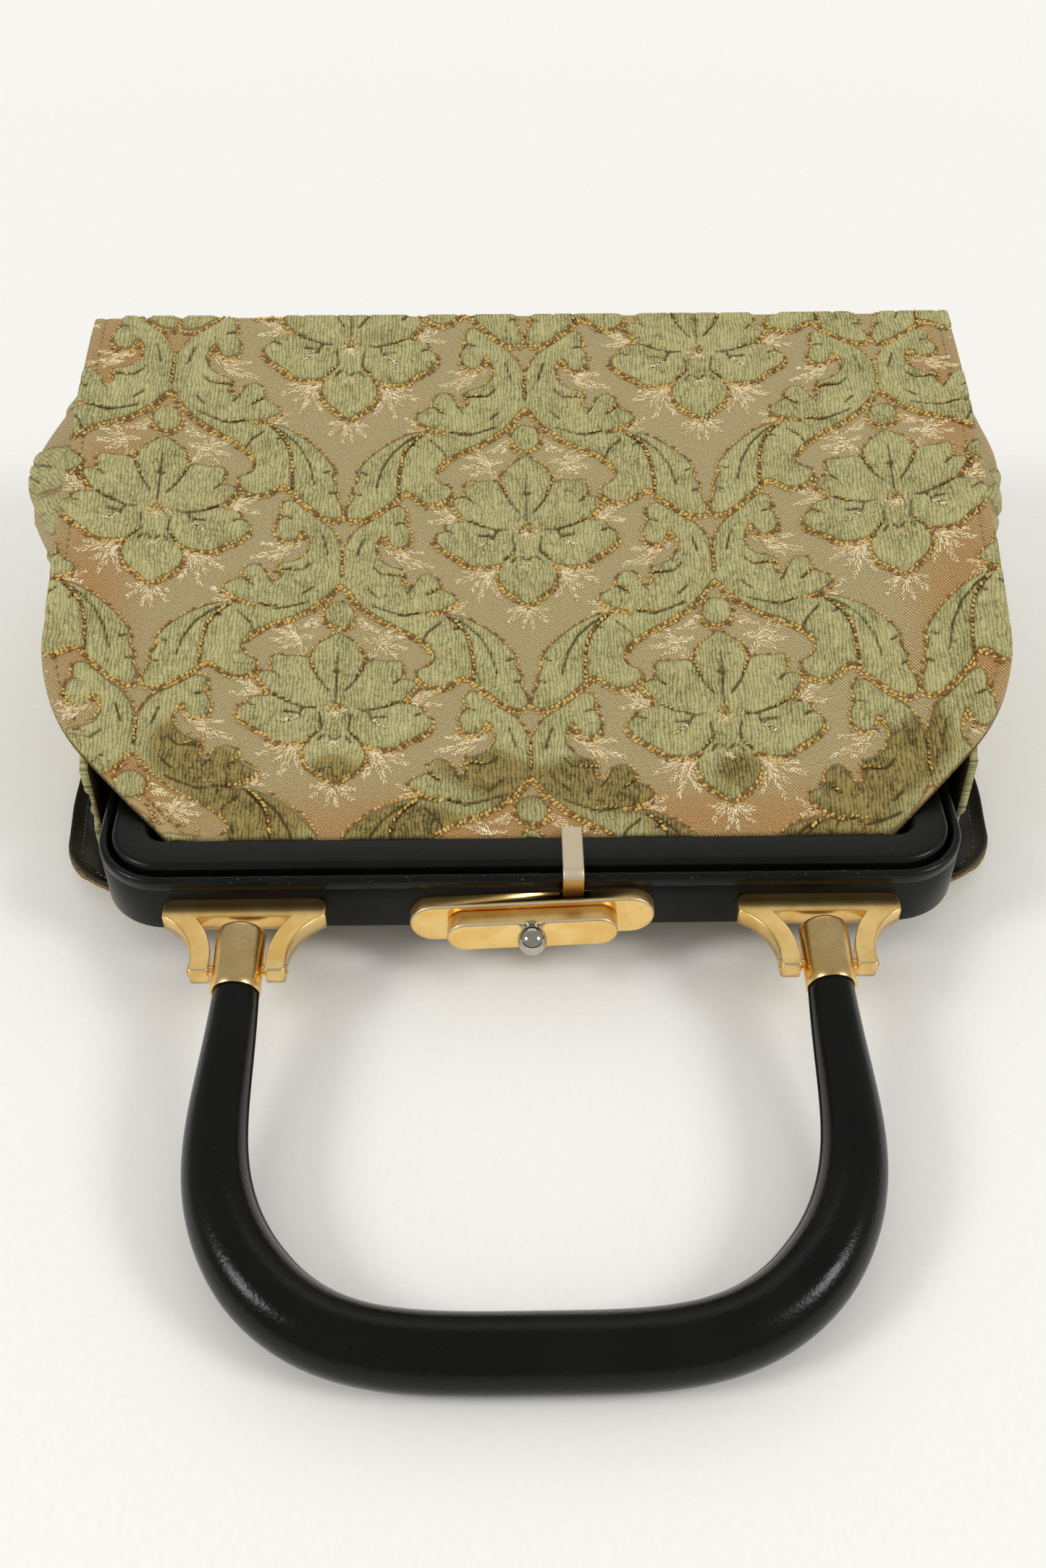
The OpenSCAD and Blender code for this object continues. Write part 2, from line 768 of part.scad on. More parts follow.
// Bracket that carries one end of the handle
module bracket(side) {
    color(gold)
        translate([side * handle_half, y_face, mid_z])
            difference() {
                translate([0, 0, -bracket_t / 2])
                    linear_extrude(bracket_t)
                        bracket_outline();
                translate([0, -pivot_out, 0])
                    rod_x(pivot_r + run_play / 2, 4 * foot_out);
                for (k = [-1, 1])
                    translate([k * bracket_rivet_x, 0, 0])
                        rod_y(rivet_r + run_play, -rivet_depth, cut_over);
            }
}

module left_bracket() {
    bracket(-1);
}

module right_bracket() {
    bracket(1);
}

// Rivets that hold the brackets on the frame
module bracket_rivets() {
    color(steel)
        for (side = [-1, 1], k = [-1, 1])
            translate([side * handle_half + k * bracket_rivet_x, 0, mid_z])
                rod_y(rivet_r, y_face - rivet_depth, y_face + wall_t);
}

// Pin through a bracket's feet and the ferrule between them
module pivot_pin(side) {
    color(gold)
        translate([side * handle_half, y_pivot, mid_z]) {
            rod_x(pivot_r, 2 * foot_out);
            for (k = [-1, 1])
                translate([k * (foot_out + pivot_head / 2), 0, 0])
                    rod_x(pivot_r + pivot_head_lip, pivot_head);
        }
}

module left_pivot_pin() {
    pivot_pin(-1);
}

module right_pivot_pin() {
    pivot_pin(1);
}

// Ferrule that holds one end of the grip and turns on the pivot pin
module ferrule(side) {
    color(gold)
        at_handle()
            translate([side * handle_half, 0, 0])
                difference() {
                    rod_y(ferrule_r, -ferrule_front, ferrule_back);
                    rod_y(ferrule_r - ferrule_wall, -ferrule_front - cut_over, -grip_start);
                    rod_x(pivot_r + run_play, 2 * ferrule_d);
                }
}

module left_ferrule() {
    ferrule(-1);
}

module right_ferrule() {
    ferrule(1);
}

// Leather-covered grip
module handle_grip() {
    color(black_leather)
        at_handle()
            handle_tube(function(p) handle_radius(p), core_r + bar_play, grip_sides);
}

// Steel core inside the grip
module handle_core() {
    color(steel)
        at_handle()
            handle_tube(function(p) core_r, core_r / 2, core_sides);
}

front_panel();
front_panel_fold();
front_panel_top();
back_panel();
back_facing();
bottom_panel();
left_gusset();
right_gusset();
lining();
rear_frame_cover();
rear_frame_strip();
front_frame_cover();
front_frame_bar();
left_hinge_pin();
right_hinge_pin();
lock_case();
lock_slide();
lock_knob();
lock_rivets();
hasp();
left_bracket();
right_bracket();
bracket_rivets();
left_pivot_pin();
right_pivot_pin();
left_ferrule();
right_ferrule();
handle_grip();
handle_core();
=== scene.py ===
"""A velvet handbag lying on its back panel, with a leather frame, a slide lock and a swinging handle."""

import math

import bpy
import numpy as np
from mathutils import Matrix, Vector


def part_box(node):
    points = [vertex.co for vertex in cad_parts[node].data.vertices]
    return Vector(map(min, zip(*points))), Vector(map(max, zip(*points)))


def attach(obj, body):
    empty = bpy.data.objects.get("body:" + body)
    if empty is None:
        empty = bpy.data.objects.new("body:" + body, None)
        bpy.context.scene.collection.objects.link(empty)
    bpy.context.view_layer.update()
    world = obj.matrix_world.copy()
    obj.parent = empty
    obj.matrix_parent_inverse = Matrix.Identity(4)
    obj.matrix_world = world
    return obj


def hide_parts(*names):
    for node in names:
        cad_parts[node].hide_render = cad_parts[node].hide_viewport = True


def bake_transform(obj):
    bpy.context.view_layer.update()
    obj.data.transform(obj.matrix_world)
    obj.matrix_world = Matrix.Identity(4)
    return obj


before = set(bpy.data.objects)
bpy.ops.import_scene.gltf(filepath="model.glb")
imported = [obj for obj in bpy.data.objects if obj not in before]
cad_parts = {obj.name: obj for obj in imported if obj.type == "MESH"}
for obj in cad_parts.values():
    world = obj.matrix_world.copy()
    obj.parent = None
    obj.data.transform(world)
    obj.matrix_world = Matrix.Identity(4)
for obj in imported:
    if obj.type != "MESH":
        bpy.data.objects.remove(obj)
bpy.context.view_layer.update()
rng = np.random.default_rng(11)

# Sizes are in millimetres until a mesh is made.
MM = 0.001


def node_box(name):
    """Lowest and highest corner of a CAD node, in millimetres."""
    return tuple(np.array(corner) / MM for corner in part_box(name))


panel_low, panel_high = node_box("front_panel")
fold_low, _ = node_box("front_panel_fold")
top_low, _ = node_box("front_panel_top")
back_low, back_high = node_box("back_panel")
_, facing_high = node_box("back_facing")
bottom_low, bottom_high = node_box("bottom_panel")
gusset_low, gusset_high = node_box("right_gusset")
rear_low, rear_high = node_box("rear_frame_cover")
ring_low, ring_high = node_box("front_frame_cover")
hasp_low, hasp_high = node_box("hasp")
pin_low, pin_high = node_box("right_pivot_pin")

# Body
PANEL_T = bottom_high[1] - bottom_low[1]
HALF_W = panel_high[0]
Y_FAR = panel_high[1]
Y_FOLD_END = panel_low[1]
Y_FOLD_START = fold_low[1]
Y_NEAR = top_low[1]
NEAR_Z = top_low[2] + PANEL_T
FAR_Z = panel_high[2]
PANEL_SAG = 4.0
PANEL_LIFT = 11.0
BOW_POWER = 0.8
WING_R = 44.0
WING_SWEEP = math.radians(48)
BACK_NEAR = back_low[1]
BACK_RISE = back_high[2] - PANEL_T
BACK_RISE_RUN = 14.0
TAB_RISE_RUN = 40.0
TAB_FROM = 100.0
BACK_CORNER_R = 26.0
TAB_NARROW = 5.5
TAB_NARROW_RUN = 50.0
SEAM_GAP = 0.3
FACING_T = 0.8
FACING_INSET = 0.4
GUSSET_T = 1.6
LEFT_BULGE, RIGHT_BULGE = 26.5, 21.0
BULGE_RUN = 38.0
BULGE_POWER = 1.8
BULGE_BACK, BULGE_END_RUN = 48.0, 26.0
CREASE_DEPTH, CREASE_Y, CREASE_SLANT, CREASE_W = 0.22, 36.0, 14.0, 4.5
GUSSET_OUT, GUSSET_NARROW_FROM, GUSSET_NARROW_RUN = 6.0, 80.0, 44.0

# Frame
Y_FACE = rear_low[1]
FRAME_HALF = rear_high[0]
FRAME_R = 20.0
FACE_Z = rear_low[2]
RIM_Z = rear_high[2]
MID_Z = (FACE_Z + RIM_Z) / 2
Y_ARM_END = rear_high[1]
WALL_T = 3.0
FLANGE_W = 12.0
Y_RING = ring_low[1]
RING_HALF = ring_high[0]
RING_R = FRAME_R - (Y_RING - Y_FACE)
RING_Z = ring_low[2]
CROWN_Z = ring_high[2]
RING_W = 11.0
RING_EDGE_R = 1.8
HINGE_Y = 72.0
Y_WING = Y_FACE + HINGE_Y

# Lock
LOCK_Z = MID_Z - 2.75
LOCK_TILT = math.radians(3)
CASE_L, CASE_H, CASE_T = 70.0, 14.0, 4.5
SLIDE_L, SLIDE_H, SLIDE_T, SLIDE_GAP = 48.5, 10.8, 5.4, 0.3
KNOB_R, KNOB_RISE = 4.2, 2.8

# Handle
HANDLE_HALF = (pin_low[0] + pin_high[0]) / 2
Y_PIVOT = (pin_low[1] + pin_high[1]) / 2
PIVOT_R = 1.5
PIVOT_OUT = Y_FACE - Y_PIVOT
BRACKET_W, BRACKET_BAR, BRACKET_T, BRACKET_CORNER_R = 46.0, 7.0, 6.0, 3.0
FOOT_END, FOOT_W, LEG_SWEEP_R, OPENING_HALF = 2.4, 5.6, 18.2, 13.2
FERRULE_R, FERRULE_WALL, FERRULE_FRONT, FERRULE_BACK, FERRULE_GAP = 6.9, 0.6, 7.5, 12.5, 0.8
HANDLE_L, HANDLE_SQUARE, GRIP_SEAT = 106.7, 3.6, 4.0
HANDLE_SPLAY, SPLAY_POWER, HANDLE_LEAN, GRIP_TAPER = 2.6, 1.25, -1.2, 80.0
GRIP_R, GRIP_END_R = 9.6, 6.05
HANDLE_TILT = math.asin((MID_Z - GRIP_R) / HANDLE_L)


# Surfaces of the bag


def ease(t):
    """A smooth change from 0 to 1."""
    t = np.clip(t, 0, 1)
    return t * t * (3 - 2 * t)


def front_z(x, y):
    """Height of the front panel's outer face: a slope that sags in the middle and lifts at the sides."""
    s = np.clip((y - Y_NEAR) / (Y_FAR - Y_NEAR), 0, 1)
    bow = np.abs(np.sin(np.pi * s)) ** BOW_POWER
    side = np.clip(np.abs(x) / HALF_W, 0, 1)
    return NEAR_Z + (FAR_Z - NEAR_Z) * s + bow * (-PANEL_SAG + (PANEL_SAG + PANEL_LIFT) * side**2)


def front_half(y):
    """Half width of the front panel: straight sides, a curve, then a straight cut to the near edge."""
    y_cut = Y_WING - WING_R * math.sin(WING_SWEEP)
    cut_half = HALF_W - WING_R * (1 - math.cos(WING_SWEEP))
    arc = HALF_W - WING_R + np.sqrt(np.maximum(WING_R**2 - np.clip(Y_WING - y, 0, WING_R) ** 2, 0))
    return np.where(y >= y_cut, arc, cut_half - (y_cut - y) * math.tan(WING_SWEEP))


def back_z(x, y):
    """Height of the back panel's outer face, which rises at its near edge and more so at its corners."""
    at_tab = ease((np.abs(x) - TAB_FROM) / (HALF_W - TAB_FROM))
    run = BACK_RISE_RUN + (TAB_RISE_RUN - BACK_RISE_RUN) * at_tab
    return BACK_RISE * ease((BACK_NEAR + run - y) / run)


def back_half(y):
    d = np.clip(BACK_NEAR + BACK_CORNER_R - y, 0, BACK_CORNER_R)
    narrow = TAB_NARROW * ease((BACK_NEAR + TAB_NARROW_RUN - y) / TAB_NARROW_RUN)
    return HALF_W - narrow - BACK_CORNER_R + np.sqrt(BACK_CORNER_R**2 - d * d)


def gusset_place(y, q, bulge):
    """Outer face of the right gusset at a place along the bag and a share of its height."""
    wide, narrow = bottom_high[0], FRAME_HALF + GUSSET_OUT
    edge = wide + (narrow - wide) * ease((Y_FACE + GUSSET_NARROW_FROM - y) / GUSSET_NARROW_RUN)
    low = back_z(edge, y) + PANEL_T + FACING_T + 2 * SEAM_GAP
    high = front_z(edge, y) - PANEL_T - SEAM_GAP
    full = np.exp(-(((y - (Y_FAR - BULGE_BACK)) / BULGE_RUN) ** 2))
    full = full * ease((gusset_high[1] - y + 1.0) / BULGE_END_RUN)
    crease = CREASE_DEPTH * np.exp(-(((y - CREASE_Y - CREASE_SLANT * q) / CREASE_W) ** 2))
    x = edge + bulge * full * (1 - crease) * np.sin(np.pi * np.clip(q, 0, 1) ** BULGE_POWER)
    return np.stack([x, y, low + (high - low) * q], -1)


def handle_place(points):
    """Points in the handle's plane, with the pivots on the X axis, turned to where the handle lies."""
    c, s = math.cos(HANDLE_TILT), math.sin(HANDLE_TILT)
    p = np.asarray(points, float)
    return np.stack(
        [p[..., 0], Y_PIVOT + c * p[..., 1] - s * p[..., 2], MID_Z + s * p[..., 1] + c * p[..., 2]], -1
    )


def lock_place(points):
    """Points on the lock, with its middle at the origin, turned to where the lock sits on the face."""
    c, s = math.cos(LOCK_TILT), math.sin(LOCK_TILT)
    p = np.asarray(points, float)
    return np.stack(
        [c * p[..., 0] - s * p[..., 2], Y_FACE + p[..., 1], LOCK_Z + s * p[..., 0] + c * p[..., 2]], -1
    )


# Meshes


def make_piece(name, points, faces, materials, values=None, face_material=None, smooth=True):
    """A mesh object from points in millimetres, with a value or vector at each point for its materials."""
    mesh = bpy.data.meshes.new(name)
    mesh.from_pydata((np.asarray(points, float) * MM).tolist(), [], faces)
    for material in materials:
        mesh.materials.append(material)
    if face_material is not None:
        mesh.polygons.foreach_set("material_index", np.asarray(face_material, np.int32))
    mesh.polygons.foreach_set("use_smooth", np.full(len(mesh.polygons), smooth))
    for key, value in (values or {}).items():
        value = np.asarray(value, np.float32)
        if value.ndim == 1:
            mesh.attributes.new(key, "FLOAT", "POINT").data.foreach_set("value", value)
        else:
            mesh.attributes.new(key, "FLOAT_VECTOR", "POINT").data.foreach_set("vector", value.ravel())
    mesh.validate()
    mesh.update()
    piece = bpy.data.objects.new(name, mesh)
    bpy.context.scene.collection.objects.link(piece)
    return piece


def sharpen(piece, degrees):
    """Keeps the edges that turn by more than an angle crisp."""
    piece.data.set_sharp_from_angle(angle=math.radians(degrees))
    return piece


def stand_for(nodes):
    """The piece stands for CAD nodes, which are hidden."""
    if nodes:
        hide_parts(*nodes)


def settle(piece, body, nodes):
    """The piece rides a body."""
    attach(piece, body)
    stand_for(nodes)


def bend_with_mouth(piece, start, end, nodes):
    """The piece's place is baked into its mesh, and the CAD nodes it stands for are hidden."""
    [v * MM for v in start]
    [v * MM for v in end]
    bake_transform(piece)
    stand_for(nodes)


def join(*meshes):
    """Several (points, faces) as one."""
    points, faces, start = [], [], 0
    for p, f in meshes:
        p = np.asarray(p, float).reshape(-1, 3)
        points.append(p)
        faces += [[i + start for i in face] for face in f]
        start += len(p)
    return np.concatenate(points), faces


def tube(rings, close_ends=True):
    """Faces between rings of points, each ring closed on itself."""
    rings = np.asarray(rings, float)
    n, m = rings.shape[:2]
    faces = []
    for i in range(n - 1):
        for k in range(m):
            faces.append([i * m + k, i * m + (k + 1) % m, (i + 1) * m + (k + 1) % m, (i + 1) * m + k])
    if close_ends:
        faces.append(list(range(m))[::-1])
        faces.append([(n - 1) * m + k for k in range(m)])
    return rings.reshape(-1, 3), faces


COARSE = 4
FINE_EDGE = np.array([0.12, 0.4, 0.8])
FINE_RUN = 1.3


def spread(low, high, pitch):
    """Places from low to high with a few close to each end; the number of steps is a multiple of COARSE."""
    inner_low, inner_high = low + FINE_RUN, high - FINE_RUN
    steps = max(COARSE, round((inner_high - inner_low) / pitch))
    while (steps + 2 * len(FINE_EDGE) + 2) % COARSE:
        steps += 1
    middle = np.linspace(inner_low, inner_high, steps + 1)
    return np.concatenate([[low], low + FINE_EDGE, middle, high - FINE_EDGE[::-1], [high]])


def cloth_shell(outer, inner):
    """Closed sheet: a fine outer grid, a rim, and an inner grid with one point for every few outer ones.
    Returns points, faces, 0 for an outer face, 1 for the rim and 2 for an inner face, and which
    of the outer points have an inner one."""
    r, c = outer.shape[0] - 1, outer.shape[1] - 1
    top = np.arange((r + 1) * (c + 1)).reshape(r + 1, c + 1)
    kept = np.zeros((r + 1, c + 1), bool)
    kept[::COARSE, ::COARSE] = True
    kept[[0, -1], :] = True
    kept[:, [0, -1]] = True
    under = np.full((r + 1, c + 1), -1)
    under[kept] = top.size + np.arange(kept.sum())
    points = np.concatenate([outer.reshape(-1, 3), inner[kept]])
    faces = np.stack([top[:-1, :-1], top[:-1, 1:], top[1:, 1:], top[1:, :-1]], -1).reshape(-1, 4).tolist()
    kind = [0] * len(faces)
    round_it = (
        [(0, j) for j in range(c)]
        + [(i, c) for i in range(r)]
        + [(r, j) for j in range(c, 0, -1)]
        + [(i, 0) for i in range(r, 0, -1)]
    )
    for a, b in zip(round_it, round_it[1:] + round_it[:1]):
        faces.append([top[b], top[a], under[a], under[b]])
        kind.append(1)
    for i in range(0, r, COARSE):
        for j in range(0, c, COARSE):
            e, f = i + COARSE, j + COARSE
            walk = (
                [(k, j) for k in range(i, e)]
                + [(e, k) for k in range(j, f)]
                + [(k, f) for k in range(e, i, -1)]
                + [(i, k) for k in range(f, j, -1)]
            )
            faces.append([int(under[p]) for p in walk if under[p] >= 0])
            kind.append(2)
    return points, [[int(v) for v in f] for f in faces], kind, kept


PLATE_EDGE_STEPS = 4
MITRE_LEAST = 0.35


def rounded_plate(outline, thickness, edge_r, under_r=0.25, fade=0.9):
    """A flat plate with rounded edges, X and Y in its plane and Z up: points, faces, wear at each point.
    The outline runs anticlockwise."""
    outline = np.asarray(outline, float)
    n = len(outline)
    normals = []
    for way in (np.roll(outline, -1, 0) - outline, outline - np.roll(outline, 1, 0)):
        length = np.linalg.norm(way, axis=1, keepdims=True)
        normals.append(np.stack([-way[:, 1], way[:, 0]], 1) / length)
    inward = normals[0] + normals[1]
    inward = inward / np.maximum((inward * normals[0]).sum(1, keepdims=True), MITRE_LEAST)
    levels = [(0.0, under_r, 0.0), (under_r, 0.0, 0.0)]
    for k in range(PLATE_EDGE_STEPS + 1):
        a = math.pi / 2 * k / PLATE_EDGE_STEPS
        z = thickness - edge_r + edge_r * math.sin(a)
        levels.append((z, edge_r * (1 - math.cos(a)), math.sin(2 * a) ** 0.5))
    levels.append((thickness, edge_r + fade, 0.0))
    rings = [np.column_stack([outline + inset * inward, np.full(n, z)]) for z, inset, _ in levels]
    points, faces = tube(rings)
    wear = np.repeat([w for _, _, w in levels], n)
    return points, faces, wear


def lathe(profile, turns=48):
    """Rings of (radius, distance along Y) turned about the Y axis."""
    a = np.linspace(0, 2 * np.pi, turns, endpoint=False)
    return np.stack(
        [np.stack([r * np.cos(a), np.full(turns, y), r * np.sin(a)], 1) for r, y in profile]
    )


def arc(cx, cy, r, start, end, steps):
    """Points on an arc, with angles in degrees."""
    a = np.radians(np.linspace(start, end, steps + 1))
    return [(cx + r * math.cos(t), cy + r * math.sin(t)) for t in a]


ARM_STEPS, CORNER_STEPS, STRAIGHT_STEPS = 8, 14, 40


def frame_path(half, y_front, r, y_end):
    """Outer line of the frame from the left arm's end to the right one's, and the way in at each point."""
    base = [(-half, y, 1.0, 0.0) for y in np.linspace(y_end, y_front + r, ARM_STEPS + 1)[:-1]]
    for a in np.linspace(180, 270, CORNER_STEPS + 1):
        c, s = math.cos(math.radians(a)), math.sin(math.radians(a))
        base.append((-(half - r) + r * c, y_front + r + r * s, -c, -s))
    for x in np.linspace(-(half - r), half - r, STRAIGHT_STEPS + 1)[1:-1]:
        base.append((x, y_front, 0.0, 1.0))
    mirrored = [(-x, y, -nx, ny) for x, y, nx, ny in base[: ARM_STEPS + CORNER_STEPS + 1]][::-1]
    return np.array(base + mirrored)


def frame_sweep(path, section):
    """A section of (distance in, height) swept along the frame."""
    inward, height = np.asarray(section, float).T
    return tube([np.column_stack([x + inward * nx, y + inward * ny, height]) for x, y, nx, ny in path])


# Damask: one flower, berry, scroll and pair of leaves, mirrored about the flower's middle line

HALF_REPEAT_X = 58.5
HALF_REPEAT_Y = 65.8
# Right half of the flower, from its top tip to its bottom tip
FLOWER = [
    (0, 29), (2.6, 26.8), (6, 24.6), (8, 21.4), (8.4, 18.2), (11, 19.7), (15.4, 19), (19.8, 19.8),
    (20, 15.4), (19.2, 12.9), (22, 13.3), (24.4, 11.6), (21.8, 7.6), (19.2, 4.7), (22.4, 4.2),
    (26, 3.4), (26.1, 1), (29, -0.3), (29.4, -2.8), (26.6, -6), (20.8, -9.1), (18.7, -11.5), (14, -12),
    (9.8, -11.3), (7.4, -10), (9.2, -13), (9.3, -16.4), (7.2, -20.3), (3.6, -22.5), (1.4, -24.6),
    (0, -25.4),
]
# Right half of the scroll, its stem and its two leaves, from the notch at the top to the apex below
SCROLL = [
    (0, 58.3), (2.2, 63.4), (4.6, 66.8), (8.5, 69.4), (12.5, 72.4), (15.6, 75.2), (19, 75.2), (20, 72),
    (19, 69.2), (21.2, 66.8), (21.4, 63.2), (19.4, 60.6), (16, 60), (14.4, 62.2), (13.4, 65.2),
    (11.4, 63.4), (10.3, 60.2), (10.8, 57), (12.8, 54.6), (16, 53), (19.6, 52.2), (19.8, 49.8),
    (18.4, 48.4), (19.6, 46), (21.6, 45.6), (23, 47.4), (24.6, 50.6), (27.6, 51.6), (30.4, 49.4),
    (30.6, 46.2), (32.6, 44.9), (35.8, 43.3), (36.2, 41), (33, 38.9), (29, 37.5), (25, 36.9),
    (30, 36.6), (36, 36.6), (42, 34), (47.6, 30), (52.2, 25.6), (55.2, 20.6), (53.6, 19.4),
    (56.5, 14.2), (55.2, 12.8), (57.6, 8.5), (57.9, 4.4), (55.6, 3.6), (52, 4.3), (49.4, 6.2),
    (45.4, 9.4), (41.6, 13), (40.4, 14.6), (37.4, 14.7), (34.6, 12.1), (31, 10.2), (27, 11.2),
    (24.1, 14.2), (24.6, 17), (28.3, 18.1), (29.8, 21.4), (28.2, 25.3), (22.4, 29.5), (16.8, 32.1),
    (11.6, 35), (8, 37.8), (4.8, 40.6), (2.2, 44.4), (0, 46.6),
]
BERRY_Y, BERRY_R = 35.2, 4.6
# Cord between the two leaves
LEAF_CORD = [
    (41.6, 13.4), (41.3, 20), (40.4, 27), (37.8, 32), (33.6, 35.6),
]
# Dark lines in the pile, on the right half
SLITS = [
    [(0, 21.6), (0, 4.4)], [(0, 14.3), (1.6, 14.5)], [(8.4, 18), (5.6, 11.6), (2.4, 7.6)],
    [(19.2, 4.7), (14, 2.4), (9, 1), (6, 1.2)], [(7.4, -10), (4, -6.2), (4.6, -1)],
    [(9.8, 0.6), (11, -2.2), (15.6, -4.8)], [(12, -1), (15.4, -0.8)], [(19.2, 12.9), (17, 11)],
    [(26, 1), (23.6, 0)], [(1.8, -8.4), (0.6, -9.8)], [(4.8, -10.4), (3.2, -8.4)],
    [(19.6, 50), (12.4, 50), (9.8, 52.6)], [(30.4, 45.8), (26.8, 43.2)],
    [(25, 36.9), (19.5, 35.4), (15, 36.8), (9.6, 38.8)], [(19, 69.2), (16.4, 68.4)],
    [(8.5, 44.4), (11.6, 41.6)], [(0, 58.2), (0, 48)], [(4.4, 56), (6.4, 62.6)],
    [(31.4, 33.6), (27.4, 30), (25.8, 27)],
    [(33.6, 36), (38.6, 33.2), (43.4, 28.6), (46.8, 22.6), (48.6, 15.4)], [(53.6, 21), (51.4, 20)],
    [(56, 13.4), (53.6, 12.6)], [(37.6, 32), (35.4, 31)], [(22.6, 46.6), (20.6, 43.6)],
]
# Lighter cords that run in from the notches, on the right half
NOTCH_CORDS = [
    [(8.4, 18.4), (6.4, 13.4)], [(19.2, 4.7), (14.4, 2.6)], [(7.4, -10), (4.6, -7)],
    [(30.6, 46.2), (27.6, 43.8)], [(19.8, 50), (13.6, 50)], [(25, 36.9), (17.4, 36)],
    [(0, 58.3), (0, 49)], [(6, 24.6), (8.4, 18.4)],
]
# Ochre stitches in the flower's eye
EYE = [
    (-2.2, 0.5), (-0.8, 0.2), (0.8, 0.3), (2.2, 0.6), (-1.5, 1.7), (0.1, 1.6), (1.5, 1.8), (-0.5, 3),
    (0.7, 3.1),
]
# Fingers of the pale sprigs on the right half: start, end and width at the start
SPRIGS = [
    ((9.8, 20.2), (12.6, 25.8), 2.6), ((12, 25.2), (21.4, 24.2), 2.6), ((12.4, 26), (20.8, 29), 2.6),
    ((12, 26.2), (7.4, 26.8), 2.2), ((13, 27.4), (16.8, 31.4), 2.2), ((13.2, 23.4), (18, 21.2), 2),
    ((5.4, 33.8), (10.4, 30.8), 2.2), ((6.4, 31), (12.8, 30), 1.8), ((22.8, 4.8), (31.2, 10), 2.8),
    ((24, 4.8), (32, 4), 2.2), ((23.4, 5.6), (27, 9.4), 2), ((9.8, -12.6), (22.6, -17.4), 3),
    ((11, -13.6), (17.8, -20), 2.6), ((12, -14.6), (15.6, -24.6), 2.6),
    ((11.6, -16.4), (8.8, -23.4), 2.4), ((10, -13.2), (20.8, -13.8), 2),
    ((1, -26.4), (6.2, -31.6), 2.4), ((2, -26.8), (6.8, -27.4), 1.8), ((0.2, -27.6), (1.6, -34), 1.8),
    ((13.6, 60.2), (20.4, 57), 3), ((16, 58.8), (25.6, 59), 2), ((17, 57), (28.6, 53.4), 2.8),
    ((18, 55.6), (23, 52.8), 2), ((33.4, 38), (39.8, 41.6), 2.4), ((34.6, 37.8), (39, 37.2), 1.8),
    ((0, -0.2), (2.4, -1.8), 1.4), ((0, -0.6), (0.7, -2.6), 1.2), ((1.4, 0.4), (3.4, 0.3), 1.2),
    ((11.2, -2.8), (16, -5.2), 1.2), ((0.2, -11), (1.6, -13), 1.4),
]


def rounded_line(points, closed, rounds=2):
    """Cuts a line's corners, a quarter of the way along each side, a few times over."""
    p = np.asarray(points, float)
    for _ in range(rounds):
        q = np.roll(p, -1, 0) if closed else p[1:]
        a = p if closed else p[:-1]
        cut = np.stack([0.75 * a + 0.25 * q, 0.25 * a + 0.75 * q], 1).reshape(-1, 2)
        p = cut if closed else np.concatenate([p[:1], cut, p[-1:]])
    return p


def both_halves(points):
    """A right half from the middle line to the middle line, closed with its mirror image."""
    p = np.asarray(points, float)
    return np.concatenate([p, (p * (-1, 1))[-2:0:-1]])


flower_loop = rounded_line(both_halves(FLOWER), True)
scroll_loop = rounded_line(both_halves(SCROLL), True)
berry_loop = np.array(arc(0, BERRY_Y, BERRY_R, 0, 345, 23))
motif_loops = [flower_loop, scroll_loop, berry_loop]
motif_lines = [np.asarray(line, float) * (side, 1) for line in SLITS for side in (1, -1)]
leaf_cords = [rounded_line(LEAF_CORD, False) * (side, 1) for side in (1, -1)]
notch_cords = [np.asarray(line, float) * (side, 1) for line in NOTCH_CORDS for side in (1, -1)]

CELL_STEP = 0.4


def measure_cell():
    """Distance into the pile (negative on the ground) and distance from a dark line, over half a repeat."""
    xs = np.arange(0, HALF_REPEAT_X + CELL_STEP, CELL_STEP)
    ys = np.arange(-HALF_REPEAT_Y, HALF_REPEAT_Y + CELL_STEP, CELL_STEP)
    x, y = np.meshgrid(xs, ys, indexing="ij")
    eyes = [(0, 0), (HALF_REPEAT_X, HALF_REPEAT_Y), (HALF_REPEAT_X, -HALF_REPEAT_Y)]
    eyes += [(0, 2 * HALF_REPEAT_Y), (0, -2 * HALF_REPEAT_Y)]
    reach = 6.0

    def near(a, b):
        low, high = np.minimum(a, b) - reach, np.maximum(a, b) + reach
        return low[0] < xs[-1] and high[0] > xs[0] and low[1] < ys[-1] and high[1] > ys[0]

    def distance(best, a, b):
        d = b - a
        t = np.clip(((x - a[0]) * d[0] + (y - a[1]) * d[1]) / max(d @ d, 1e-9), 0, 1)
        return np.minimum(best, np.hypot(x - a[0] - t * d[0], y - a[1] - t * d[1]))

    edge, slit = np.full(x.shape, reach), np.full(x.shape, reach)
    inside = np.zeros(x.shape, bool)
    for eye in eyes:
        for loop in motif_loops:
            points = loop + eye
            for a, b in zip(points, np.roll(points, -1, 0)):
                if near(a, b):
                    edge = distance(edge, a, b)
                if a[1] != b[1] and max(a[0], b[0]) > xs[0]:
                    crossing = (y >= min(a[1], b[1])) & (y < max(a[1], b[1]))
                    inside ^= crossing & (x < a[0] + (y - a[1]) * (b[0] - a[0]) / (b[1] - a[1]))
        for line in motif_lines + leaf_cords:
            for a, b in zip(line[:-1] + eye, line[1:] + eye):
                if near(a, b):
                    slit = distance(slit, a, b)
    return np.where(inside, edge, -edge), slit


cell_pile, cell_slit = measure_cell()


